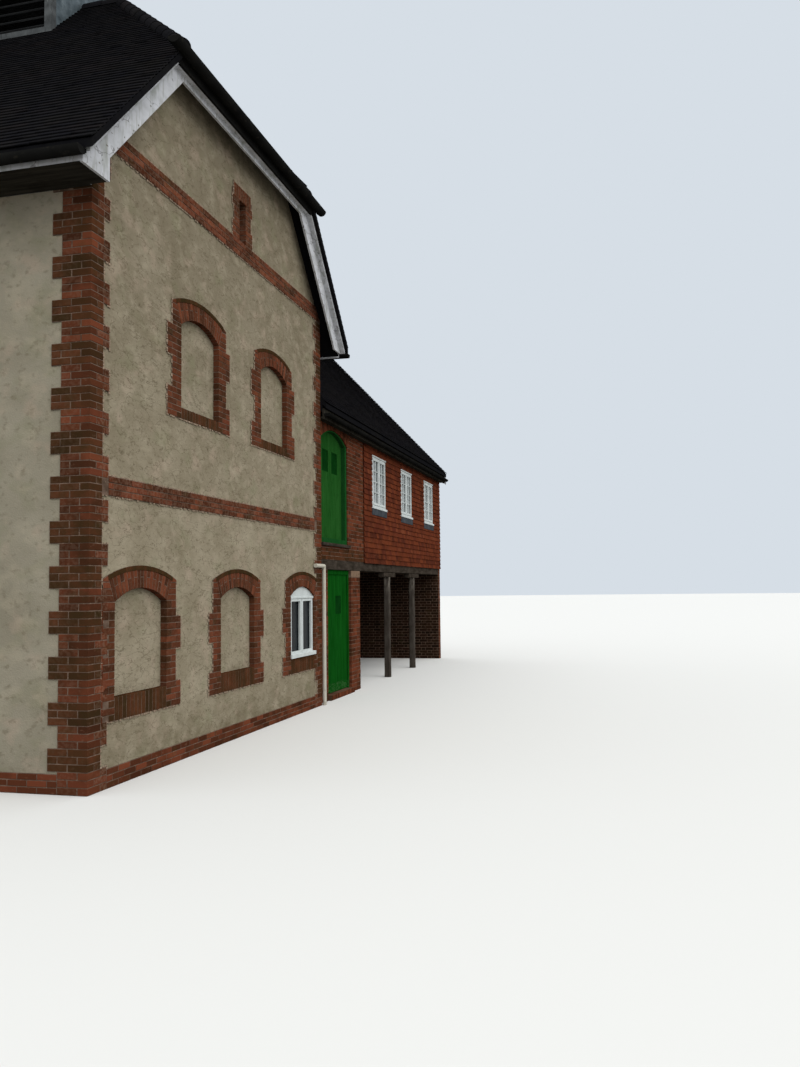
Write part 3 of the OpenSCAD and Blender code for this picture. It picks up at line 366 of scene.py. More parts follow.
# Plain clay roof tiles, sand faced, blue black with soot and a little lichen.
ROOF_TILE = Finish(
    "sooty_plain_clay_tile",
    ("#151517", "#19191b", "#1c1b1c", "#18181b", "#1e1c1d", "#161618"),
    by_piece=True,
    patches=(
        Patch("#1e1d1a", (700, 700, 500), 0.54, 0.72, 0.4),
        Patch("#28271f", (45, 45, 45), 0.66, 0.76, 0.4),
        Patch("#0e0e10", (160, 160, 120), 0.52, 0.68, 0.5),
    ),
    reliefs=(Relief((8, 8, 8), 1.0), Relief((2.5, 2.5, 2.5), 0.3)),
    roughness=(0.72, 0.92),
)
# Hung clay tiles, brownish red, each with its own tone.
HUNG_TILE = Finish(
    "hung_clay_tile",
    ("#442219", "#4d271b", "#572b1c", "#62321f", "#50271c", "#6b3a26"),
    by_piece=True,
    patches=(
        Patch("#2f1a12", (380, 380, 420), 0.52, 0.70, 0.4),
        Patch("#744a34", (90, 90, 60), 0.60, 0.74, 0.35),
        Patch("#271810", (14, 14, 14), 0.66, 0.76, 0.4, detail=2.0),
    ),
    reliefs=(Relief((9, 9, 7), 1.0), Relief((2.5, 2.5, 2.5), 0.3)),
    roughness=(0.7, 0.9),
)
# White oil paint on softwood: chalky, streaked with dirt, flaked to bare grey wood in places.
WHITE_PAINT = Finish(
    "weathered_white_oil_paint",
    ("#a8aaad", "#b6b8bc", "#c0c2c6"),
    ground_mm=(260, 260, 120),
    patches=(
        Patch("#84867c", (40, 40, 260), 0.52, 0.70, 0.60, detail=5.0),
        Patch("#6f7465", (160, 160, 420), 0.56, 0.72, 0.50),
        Patch("#5a5348", (120, 120, 60), 0.67, 0.71, 0.85, detail=5.0),
        Patch("#3b362e", (620, 620, 380), 0.986, 0.998, 0.6, detail=4.0, pattern=Pattern.CRACKS),
        Patch("#3d382f", (60, 60, 28), 0.71, 0.74, 0.9, detail=4.0),
    ),
    reliefs=(Relief((30, 30, 30), 0.6), Relief((120, 120, 60), 1.2, 5.0)),
    roughness=(0.42, 0.62),
)
# The ventilator's frame: the same paint, gone grey with soot.
SOOTY_PAINT = replace(WHITE_PAINT, name="sooty_grey_oil_paint", ground=("#3c3e3f", "#4b4e4f", "#5a5d5e"),
                      patches=(Patch("#292a2a", (60, 60, 200), 0.52, 0.70, 0.6, detail=5.0),
                               Patch("#7a7e7d", (40, 40, 120), 0.62, 0.74, 0.5, detail=4.0)))
# Boards under the eaves, stained brown, and darkened nearly to black as painted shade under the overhang.
SHADED_SOFFIT_BOARD = Finish(
    "brown_soffit_board_in_painted_shade",
    ("#24221e", "#2d2b26", "#36332d"),
    ground_mm=(40, 500, 40),
    patches=(Patch("#120e0b", (200, 400, 200), 0.5, 0.7, 0.6),),
    reliefs=(Relief((5, 240, 5), 0.8),),
    roughness=(0.7, 0.9),
)
# Newer white gloss paint on the windows.
WINDOW_PAINT = Finish(
    "white_gloss_window_paint",
    ("#b4bab9", "#c2c8c7"),
    ground_mm=(150, 150, 150),
    patches=(Patch("#8d928e", (30, 30, 120), 0.6, 0.74, 0.5),),
    reliefs=(Relief((20, 20, 20), 0.4),),
    roughness=(0.3, 0.45),
)
# Deep green gloss paint, brushed down the boards and scuffed at their feet.
GREEN_PAINT = Finish(
    "green_gloss_door_paint",
    ("#093b0c", "#0c4310", "#0f4913"),
    ground_mm=(120, 120, 700),
    patches=(
        Patch("#1a5421", (30, 30, 420), 0.56, 0.72, 0.5, detail=5.0),
        Patch("#072b09", (90, 90, 260), 0.58, 0.74, 0.5),
        Patch("#3a5a34", (60, 60, 24), 0.45, 0.62, 0.6, band_m=(0.24, 0.27)),
    ),
    reliefs=(Relief((5, 5, 180), 0.5, 4.0), Relief((40, 40, 60), 0.8)),
    roughness=(0.34, 0.5),
)
# The loading doors: the same paint, faded by the weather.
FADED_GREEN_PAINT = replace(GREEN_PAINT, name="faded_green_gloss_paint", ground=("#194418", "#1e4a1c", "#235021"))
# The panels in the doors: the same paint, darker.
DARK_GREEN_PAINT = Finish(
    "dark_green_gloss_paint",
    ("#07290b", "#0b3510"),
    ground_mm=(60, 60, 200),
    patches=(Patch("#12421a", (20, 20, 60), 0.6, 0.72, 0.5),),
    reliefs=(Relief((30, 30, 30), 0.5),),
    roughness=(0.3, 0.45),
)
# The loading door's frame: the same paint, a little chalked by the sun.
CHALKED_GREEN_PAINT = Finish(
    "chalked_green_paint",
    ("#14401b", "#1a4820"),
    ground_mm=(80, 80, 300),
    patches=(Patch("#0e2f14", (40, 40, 200), 0.58, 0.72, 0.5),),
    reliefs=(Relief((30, 30, 30), 0.5),),
    roughness=(0.45, 0.6),
)
# Hewn oak left bare: brown grey, its ground darkened as painted shade of the undercroft, darker in patches and paler
# towards its top, with long drying cracks.
GREY_OAK = Finish(
    "weathered_bare_oak",
    ("#332e2a", "#3f3a35", "#4b4640"),
    ground_mm=(90, 90, 260),
    patches=(
        Patch("#6c665d", (9, 9, 300), 0.58, 0.72, 0.5, detail=5.0),
        Patch("#1f1a15", (5, 5, 420), 0.63, 0.69, 0.9, detail=2.0),
        Patch("#2b2620", (200, 200, 200), 0.5, 0.7, 0.5),
        Patch("#8b847a", (60, 60, 160), 0.35, 0.60, 0.55, band_m=(2.2, 1.8)),
    ),
    reliefs=(Relief((6, 6, 320), 2.4, 4.0), Relief((60, 60, 90), 3.0)),
    roughness=(0.75, 0.92),
)
# The same oak with its grain along the building, browner and without the pale top, its ground also darkened as
# painted shade.
GREY_OAK_BEAM = Finish(
    "weathered_bare_oak_beam",
    ("#2b2620", "#38322c", "#443d36"),
    ground_mm=(260, 90, 90),
    patches=(
        Patch("#625b51", (300, 9, 9), 0.58, 0.72, 0.5, detail=5.0),
        Patch("#1a1510", (420, 5, 5), 0.63, 0.69, 0.9, detail=2.0),
        Patch("#241f19", (200, 200, 200), 0.5, 0.7, 0.5),
    ),
    reliefs=(Relief((320, 6, 6), 2.4, 4.0), Relief((90, 60, 60), 3.0)),
    roughness=(0.75, 0.92),
)
# Sawn softwood joists and boards, dusty brown.
SAWN_PINE = Finish(
    "sawn_pine",
    ("#5b4a37", "#6d5a44", "#7a6750"),
    ground_mm=(200, 120, 120),
    patches=(Patch("#4a3b2b", (300, 8, 8), 0.55, 0.7, 0.6, detail=4.0),
             Patch("#35291e", (200, 200, 200), 0.55, 0.72, 0.6)),
    reliefs=(Relief((240, 5, 5), 0.8),),
    roughness=(0.75, 0.9),
)
# Brick paving, worn smooth and muddy.
PAVING = Finish(
    "worn_brick_paving",
    ("#4a352a", "#5b4235", "#6a5244"),
    ground_mm=(225, 112, 75),
    patches=(Patch("#3a2d22", (300, 300, 300), 0.48, 0.66, 0.7), Patch("#7a6a58", (60, 60, 60), 0.6, 0.72, 0.5)),
    reliefs=(Relief((110, 70, 70), 5.0), Relief((6, 6, 6), 1.0)),
    roughness=(0.6, 0.85),
)
# Louvre boards, tarred black and dusty.
LOUVRE = Finish(
    "tarred_louvre_board",
    ("#1f2021", "#2c2d2e"),
    ground_mm=(60, 400, 60),
    patches=(Patch("#4b4c4b", (12, 300, 12), 0.6, 0.72, 0.5, detail=4.0),),
    reliefs=(Relief((8, 260, 8), 0.8),),
    roughness=(0.6, 0.8),
)
# Milled sheet lead, blue grey with a paler bloom; it was dressed by hand, so it undulates.
LEAD = Finish(
    "milled_lead_sheet",
    ("#4a5459", "#586267", "#687277"),
    ground_mm=(140, 140, 140),
    patches=(Patch("#8a9395", (45, 45, 90), 0.60, 0.74, 0.5, detail=5.0),
             Patch("#343b3e", (90, 90, 60), 0.56, 0.72, 0.5)),
    reliefs=(Relief((70, 70, 50), 2.5), Relief((10, 10, 10), 0.5)),
    roughness=(0.42, 0.62),
    metallic=0.3,
)
# Older lead under the windows, gone dark.
DARK_LEAD = replace(LEAD, name="dark_sheet_lead", ground=("#35393d", "#3e4246", "#484c51"), metallic=0.0,
                    patches=(Patch("#5a5f63", (45, 45, 90), 0.58, 0.74, 0.5, detail=5.0),))
# Cast iron gutter under black bitumen paint.
BLACK_IRON = Finish(
    "bitumen_painted_cast_iron",
    ("#141414", "#1d1d1c"),
    patches=(Patch("#33302a", (80, 80, 50), 0.6, 0.72, 0.5),),
    reliefs=(Relief((6, 6, 6), 0.5),),
    roughness=(0.45, 0.65),
)
# White plastic pipe, extruded and grubby.
PLASTIC_PIPE = Finish(
    "extruded_white_plastic",
    ("#a8a496", "#b8b5a9"),
    ground_mm=(90, 90, 400),
    patches=(Patch("#7f7a69", (30, 30, 90), 0.58, 0.72, 0.6),
             Patch("#5b5646", (60, 60, 60), 0.5, 0.7, 0.5, band_m=(0.1, 0.6))),
    reliefs=(Relief((60, 60, 60), 0.3),),
    roughness=(0.35, 0.5),
)
# Drawn window glass before dark rooms; the upper panes are painted pale grey as a painted reflection of the sky.
WINDOW_GLASS = Finish(
    "drawn_window_glass",
    ("#14181b", "#1b1f23"),
    ground_mm=(500, 500, 300),
    # Pale grey over the panes above 2.5 m: painted reflection of the sky.
    patches=(Patch("#9ba1a4", (500, 500, 300), -1.0, 0.0, 0.9, band_m=(3.0, 2.5)),
             Patch("#5d6367", (260, 260, 420), 0.5, 0.66, 0.5, band_m=(3.0, 2.5))),
    reliefs=(Relief((260, 260, 260), 1.2, 0.0),),
    roughness=(0.04, 0.10),
    ior=1.52,
    specular=0.08,
)
# Padstone of brown limestone, stained by the brickwork.
LIMESTONE = Finish(
    "brown_limestone",
    ("#6b5848", "#7c6655"),
    ground_mm=(60, 60, 60),
    patches=(Patch("#4c4032", (90, 90, 40), 0.55, 0.7, 0.6),),
    reliefs=(Relief((8, 8, 8), 1.0),),
    roughness=(0.8, 0.92),
)


# ---------------------------------------------------------------- shapes


@dataclass(frozen=True)
class Plan:
    """Main sizes that the pieces share, as the solids have them.

    side is the wall between the entrance bay and the undercroft, bay the end of the brickwork over the
    entrance, and wall the thickness of the wing's brick walls.
    """

    origin: Array
    length: float = 7.0
    depth: float = 7.0
    wing_in: float = 0.09
    wing_end: float = 17.5
    slope: float = math.tan(math.radians(46.5))
    kiln_edge: float = 6.29
    kiln_out: float = 0.54
    verge_out: float = 0.35
    hip_drop: float = 2.27
    wing_edge: float = 5.214
    wing_out: float = 0.2
    wing_verge: float = 0.15
    beam: float = 2.33
    upper: float = 2.51
    side: float = 9.6
    bay: float = 9.9
    wall: float = 0.225
    window_x: tuple[float, ...] = (10.51, 12.99, 15.47)
    window_w: float = 1.08
    window_z: tuple[float, float] = (3.7, 4.78)

    @property
    def back(self) -> float:
        """Where the wing's rear face stands."""
        return self.depth - self.wing_in

    @property
    def cos(self) -> float:
        """Cosine of the roofs' pitch: level metres for each metre up a slope."""
        return math.cos(math.atan(self.slope))

    @property
    def ridge(self) -> float:
        """Height of the kiln's ridge."""
        return self.kiln_edge + (self.length / 2 + self.kiln_out) * self.slope

    @property
    def hip_x(self) -> float:
        """Where a half hip's edge meets the side slope."""
        return self.length / 2 - self.hip_drop / self.slope

    @property
    def hip_edge(self) -> float:
        """Height of the tile edge at the half hips."""
        return self.ridge - self.hip_drop

    @property
    def wing_ridge(self) -> float:
        """Height of the wing's ridge."""
        return self.wing_edge + (self.depth / 2 - self.wing_in + self.wing_out) * self.slope


@dataclass
class Blocks:
    """Many blocks as arrays: each has a four-sided front face and a way from it to its back.

    fronts is (n, 4, 3), anticlockwise seen from outside. backs is (n, 3). tones, smears and soils are (n,),
    from 0 to 1. Where they aren't given, tones are 0.5 and the other two 0.
    """

    fronts: Array
    backs: Array
    tones: Array | None = None
    smears: Array | None = None
    dirt_and_shade_levels: Array | None = None

    def __post_init__(self) -> None:
        """Fills in the values that aren't given."""
        for name, value in (("tones", 0.5), ("smears", 0.0), ("dirt_and_shade_levels", 0.0)):
            if getattr(self, name) is None:
                setattr(self, name, np.full(len(self.fronts), value))

    @staticmethod
    def joined(parts: Iterable[Blocks]) -> Blocks:
        """Joins several sets of blocks into one."""
        parts = list(parts)
        return Blocks(*(np.concatenate([getattr(part, name) for part in parts])
                        for name in ("fronts", "backs", "tones", "smears", "dirt_and_shade_levels")))

    def mirrored(self, depth: float, rng: np.random.Generator) -> Blocks:
        """Turns the blocks of the front round to the back.

        Args:
            depth: The kiln's depth, about whose middle the blocks are mirrored.
            rng: Gives the copies tones of their own.

        Returns:
            The mirrored blocks.
        """
        fronts = self.fronts[:, ::-1].copy()
        fronts[..., 1] = depth - fronts[..., 1]
        backs = self.backs * np.array([1.0, -1.0, 1.0])
        return Blocks(fronts, backs, rng.permutation(self.tones), self.smears, self.dirt_and_shade_levels)


def inset(quads: Array, amount: float) -> Array:
    """Draws each quad in from its edges: every corner moves the amount along both edges that meet there."""
    edges = [np.roll(quads, step, axis=1) - quads for step in (-1, 1)]
    ahead, behind = (edge / np.maximum(np.linalg.norm(edge, axis=-1, keepdims=True), 1e-9) for edge in edges)
    return quads + amount * (ahead + behind)


def rects(boxes: Array | Sequence[Box]) -> Array:
    """Turns boxes into quads, anticlockwise from the low left corner."""
    boxes = np.asarray(boxes, dtype=float).reshape(-1, 4)
    return boxes[:, [[0, 1], [2, 1], [2, 3], [0, 3]]]


def between(edges: Array, low: float, high: float) -> Array:
    """Boxes side by side between edges, all from low to high."""
    level = np.ones(len(edges) - 1)
    return np.stack([edges[:-1], low * level, edges[1:], high * level], axis=1)


def courses(x0: float, x1: float, z0: float, z1: float, flemish: bool = False, lap: int = 0) -> Array:
    """Fills a rectangle with bricks: courses of about 75 mm, each lapped by half a brick over the last.

    Args:
        x0: Left edge.
        x1: Right edge.
        z0: Bottom.
        z1: Top.
        flemish: Headers and stretchers in turn in each course, in place of stretchers alone.
        lap: Which of the two courses comes first.

    Returns:
        Quads (n, 4, 2) without joints.
    """
    rows = max(1, round((z1 - z0) / COURSE))
    units = max(1, round((x1 - x0) / HALF_BRICK))
    heights = np.linspace(z0, z1, rows + 1)
    steps = np.arange(-2, units + 3)
    boxes = []
    for row in range(rows):
        odd = (row + lap) % 2
        marks = np.concatenate([3 * steps, 3 * steps + 2]) - 1.5 * odd if flemish else 2.0 * steps - odd
        edges = np.unique(np.clip(np.append(marks, [0, units]), 0, units)) * (x1 - x0) / units + x0
        boxes.append(between(edges, heights[row], heights[row + 1]))
    return rects(np.concatenate(boxes))


def soldiers(x0: float, x1: float, z0: float, z1: float) -> Array:
    """Fills a rectangle with bricks stood on end, about 75 mm apart."""
    return rects(between(np.linspace(x0, x1, max(1, round((x1 - x0) / COURSE)) + 1), z0, z1))


def arc_radius(width: float, rise: float) -> float:
    """Radius of a segmental arch through both springings and the crown: (w^2 / 4 + rise^2) / (2 rise)."""
    return (width ** 2 / 4 + rise ** 2) / (2 * rise)


def arc(middle: float, spring: float, width: float, rise: float, reach: float, count: int) -> Array:
    """Points (count, 2) on a segmental arch, left to right, at even angles from -reach to +reach across."""
    radius = arc_radius(width, rise)
    half = math.asin(min(1.0, reach / radius))
    turn = np.linspace(-half, half, count)
    return np.stack([middle + radius * np.sin(turn), spring + rise - radius + radius * np.cos(turn)], axis=1)


def upright(quads: Array, y0: float, y1: float) -> Blocks:
    """Blocks between two planes from quads in X and Z, their front faces towards -Y."""
    fronts = np.stack([quads[..., 0], np.full(quads.shape[:2], y0), quads[..., 1]], axis=-1)
    return Blocks(fronts, np.tile([0.0, y1 - y0, 0.0], (len(quads), 1)))


def bars(boxes: Sequence[Box], y0: float, y1: float) -> Blocks:
    """Blocks between two planes from boxes, their front faces towards -Y."""
    return upright(rects(boxes), y0, y1)


def rails(box: Box, size: float, foot: float) -> list[Box]:
    """Two stiles and two rails of one size round the inside of a box, the bottom rail with its own height."""
    x0, z0, x1, z1 = box
    return [(x0, z0, x0 + size, z1), (x1 - size, z0, x1, z1), (x0 + size, z0, x1 - size, z0 + foot),
            (x0 + size, z1 - size, x1 - size, z1)]


def wave(points: Array, size: float, seed: float) -> Array:
    """A smooth unevenness in space: three sine waves of unlike directions, about size long, from -1 to 1."""
    turns = 2 * math.pi / size
    ways = np.array([[1.0, 0.31, 0.17], [-0.42, 0.93, 0.38], [0.23, -0.37, 0.88]])
    phases = points @ ways.T * turns * np.array([1.0, 1.37, 0.71]) + seed * np.array([1.0, 2.3, 4.1])
    return np.sin(phases).mean(axis=-1)


def ring_faces(rings: int, size: int) -> Array:
    """Faces (n, 4) between closed rings of points, each to the next.

    Point i of ring r has the number r * size + i, and a ring's last point is followed by its first.
    """
    start, at = np.arange(rings - 1)[:, None] * size, np.arange(size)[None, :]
    near, right = start + at, start + (at + 1) % size
    return np.stack([near, right, right + size, near + size], axis=-1).reshape(-1, 4)


def repeated(faces: Array, size: int, count: int) -> Array:
    """The same faces for a number of shapes that follow each other, each of so many points."""
    return (faces + size * np.arange(count)[:, None, None]).reshape(-1, 4)


def merged(shapes: Iterable[tuple[Array, Array]]) -> tuple[Array, Array]:
    """Joins the points and the faces of several shapes into one.

    Args:
        shapes: Points and faces of each shape.

    Returns:
        All points and all faces.
    """
    points, faces, base = [], [], 0
    for found, quads in shapes:
        points.append(found)
        faces.append(quads + base)
        base += len(found)
    return np.concatenate(points), np.concatenate(faces)


class Facing(Enum):
    """Which way an upright face looks: its outward direction."""

    FRONT = (0.0, -1.0)
    BACK = (0.0, 1.0)
    LEFT = (-1.0, 0.0)
    RIGHT = (1.0, 0.0)


@dataclass(frozen=True)
class Face:
    """An upright wall face: which way it looks, where its plane lies, and how little a block stands proud."""

    facing: Facing
    at: float
    least: float = 0.001

    def blocks(self, quads: Array, rng: np.random.Generator, depth: float = 0.02, proud: float = BRICK_PROUD,
               joint: float = JOINT, rough: float = 0.0012, smear: Array | float = 0.0,
               dirt_and_shade: Array | float = 0.0) -> Blocks:
        """Stands quads drawn on the face out of it as blocks.

        Args:
            quads: (n, 4, 2) in the wall's own level coordinate (X or Y) and Z.
            rng: Source of the small differences between blocks.
            depth: How far the blocks run into the wall behind its plane.
            proud: How far they stand out of the plane.
            joint: Width of the gap between neighbours.
            rough: How far each corner may stray.
            smear: How much pointing is smeared over each block, 0 to 1.
            dirt_and_shade: How much each block is darkened, 0 to 1: by dirt, and beside the openings by painted
                shade.

        Returns:
            The blocks.
        """
        count = len(quads)
        flat = inset(quads, joint / 2) + rng.uniform(-rough, rough, (count, 4, 2))
        out = proud + rng.normal(0.0, rough * 0.8, (count, 1)) + rng.uniform(-rough, rough, (count, 4)) * 0.5
        level, normal = (0, 1) if self.facing.value[0] == 0 else (1, 0)
        sign = sum(self.facing.value)
        corners = np.zeros((count, 4, 3))
        corners[..., level] = flat[..., 0]
        corners[..., normal] = self.at + sign * np.maximum(out, self.least)
        corners[..., 2] = flat[..., 1]
        if self.facing in (Facing.BACK, Facing.LEFT):
            corners = corners[:, ::-1]
        back = np.zeros((count, 3))
        back[:, normal] = -sign * (depth + proud)
        return Blocks(corners, back, rng.random(count), smear + np.zeros(count), dirt_and_shade + np.zeros(count))


@dataclass
class Maker:
    """Makes mesh objects, moves them to the frame's origin and puts them on their body."""

    plan: Plan
    materials: dict[str, bpy.types.Material] = field(default_factory=dict)

    def material(self, finish: Finish) -> bpy.types.Material:
        """Returns the finish's material, built the first time it is asked for."""
        if finish.name not in self.materials:
            self.materials[finish.name] = finish.build()
        return self.materials[finish.name]

    def mesh(self, name: str, points: Array, faces: Array, finish: Finish, slot: str, body: str = BODY,
             replaces: Sequence[str] = (), attributes: dict[str, Array] | None = None) -> None:
        """Makes one piece.

        Args:
            name: The piece's name.
            points: (n, 3) in the building's corner frame.
            faces: (m, 4) point numbers, anticlockwise from outside.
            finish: What it is finished in.
            slot: Not used.
            body: The body that it rides on.
            replaces: Solids that it stands for.
            attributes: One value a point, by name.
        """
        data = bpy.data.meshes.new(name)
        data.vertices.add(len(points))
        data.vertices.foreach_set("co", (points - self.plan.origin).astype(np.float32).ravel())
        data.loops.add(faces.size)
        data.loops.foreach_set("vertex_index", faces.astype(np.int32).ravel())
        data.polygons.add(len(faces))
        data.polygons.foreach_set("loop_start", np.arange(0, faces.size, faces.shape[1], dtype=np.int32))
        for key, values in (attributes or {}).items():
            data.attributes.new(key, "FLOAT", "POINT").data.foreach_set("value", values.astype(np.float32))
        data.update(calc_edges=True)
        data.polygons.foreach_set("use_smooth", np.zeros(len(faces), dtype=bool))
        data.materials.append(self.material(finish))
        piece = bpy.data.objects.new(name, data)
        bpy.context.scene.collection.objects.link(piece)
        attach(piece, body)
        if replaces:
            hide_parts(*replaces)
        LOG.info("%s: %d faces", name, len(faces))

    def block_mesh(self, name: str, blocks: Blocks, finish: Finish, slot: str, chamfer: float = 0.003,
                   body: str = BODY) -> None:
        """Makes one piece of many blocks, each with its front edges chamfered.

        A chamfered block has three rings of four points: the front face drawn in by the chamfer, the
        front outline one chamfer behind it, and the back. Without a chamfer it has the last two.

        Args:
            name: The piece's name.
            blocks: The blocks.
            finish: What it is finished in.
            slot: Not used; passed on to mesh.
            chamfer: Size of the chamfer.
            body: The body that it rides on.
        """
        fronts, backs = blocks.fronts, blocks.backs[:, None, :]
        rings = [fronts, fronts + backs]
        if chamfer > 0:
            unit = backs / np.linalg.norm(backs, axis=-1, keepdims=True)
            rings = [inset(fronts, chamfer), fronts + unit * chamfer, fronts + backs]
        size = 4 * len(rings)
        front, back = [[0, 1, 2, 3]], [[size - 1, size - 2, size - 3, size - 4]]
        faces = repeated(np.concatenate([front, ring_faces(len(rings), 4)[:, ::-1], back]), size, len(fronts))
        self.mesh(name, np.stack(rings, axis=1).reshape(-1, 3), faces, finish, slot, body, attributes={
            "tone": np.repeat(blocks.tones, size), "smear": np.repeat(blocks.smears, size),
            "dirt_and_shade": np.repeat(blocks.dirt_and_shade_levels, size)})


@dataclass
class Part:
    """A sub-assembly: one kind of work on the building, made of one or more pieces."""

    maker: Maker

    @property
    def plan(self) -> Plan:
        """The main sizes."""
        return self.maker.plan

    def build(self) -> None:
        """Makes the pieces."""
        raise NotImplementedError


# ---------------------------------------------------------------- brickwork


@dataclass
class Arched:
    """An arched opening with its brick surround: place, size and toothing.

    lip is how far bricks beside the opening stand into it. edge is the height of the thin edge on the ring.
    """

    x: float
    z: float
    width: float
    sill: float
    height: float
    foot: float
    rise: float = 0.15
    ring: float = 0.24
    narrow: float = 0.22
    wide: float = 0.335
    tooth: float = 0.375
    skew: float = 0.13
    lip: float = 0.008
    edge: float = 0.052
    edge_marks: int = 13
    shoulder_marks: int = 5

    @property
    def middle(self) -> float:
        """The opening's middle."""
        return self.x + self.width / 2

    @property
    def spring(self) -> float:
        """Height of the springing."""
        return self.z + self.sill + self.height

    def segments(self) -> list[tuple[float, float, float]]:
        """The surround's sides from the foot up: bottom, top and width of each block."""
        foot = self.z + self.foot
        marks = [self.z, foot, foot + self.tooth, foot + 2 * self.tooth, self.spring]
        return list(zip(marks[:-1], marks[1:], (self.wide, self.narrow, self.wide, self.narrow)))

    def outer(self, count: int) -> Array:
        """Points on the top of the arch ring, from one skewback to the other."""
        return arc(self.middle, self.spring + self.ring, self.width + 2 * self.narrow, self.rise,
                   self.width / 2 + self.skew, count)

    def ring_quads(self) -> Array:
        """The arch ring: wedge bricks in turn whole and in two halves, from the lower curve to the upper.

        The i-th wedge joins even angles of the lower circle to even angles of the upper one.

        Returns:
            Quads (n, 4, 2).
        """
        count = 2 * round((self.width + 2 * self.skew) / COURSE / 2) + 1
        low = arc(self.middle, self.spring, self.width, self.rise, self.width / 2, count + 1)
        low = low - np.array([0.0, self.lip])
        high = self.outer(count + 1)
        halfway = (low + high) / 2
        whole, inner, upper = (np.stack([a[:-1], a[1:], b[1:], b[:-1]], axis=1)
                               for a, b in ((low, high), (low, halfway), (halfway, high)))
        return np.concatenate([whole[::2], inner[1::2], upper[1::2]])

    def edge_quads(self) -> Array:
        """The thin dirty edge along the top of the arch ring."""
        high = self.outer(self.edge_marks)
        low = high - np.array([0.0, self.edge])
        return np.stack([low[:-1], low[1:], high[1:], high[:-1]], axis=1)

    def shoulder_quads(self) -> Array:
        """Courses beside the ring, cut along its skewback, on the left and mirrored on the right.

        Returns:
            Quads (n, 4, 2).
        """
        top = self.outer(2)[0][1]
        marks = np.linspace(self.spring, top, self.shoulder_marks)
        right = np.stack([self.x - (marks - self.spring) / (top - self.spring) * self.skew, marks], 1)
        left = np.stack([np.full(self.shoulder_marks, self.x - self.narrow), marks], 1)
        quads = np.stack([left[:-1], right[:-1], right[1:], left[1:]], axis=1)
        quads[-1, 3, 1] = self.spring + self.ring
        other = quads.copy()
        other[..., 0] = 2 * self.x + self.width - other[..., 0]
        return np.concatenate([quads, other[:, ::-1]])

    def quads(self) -> Array:
        """Every brick of the surround, with the ones beside the opening standing a little into it.

        Returns:
            Quads (n, 4, 2).
        """
        found = [self.ring_quads(), self.shoulder_quads()]
        left, right = self.x + self.lip, self.x + self.width - self.lip
        for row, (low, high, width) in enumerate(self.segments()):
            found.append(courses(self.x - width, left, low, high, lap=row))
            found.append(courses(right, self.x + self.width + width, low, high, lap=row + 1))
        found.append(soldiers(left, right, self.z, self.z + self.sill + self.lip))
        return np.concatenate(found)

    def edge_boxes(self) -> list[Box]:
        """Boxes that the surround fills, for the pointing round them."""
        sides = [*self.segments(), (self.spring, self.spring + self.ring, self.narrow)]
        return [(self.x - width, low, self.x + self.width + width, high) for low, high, width in sides]


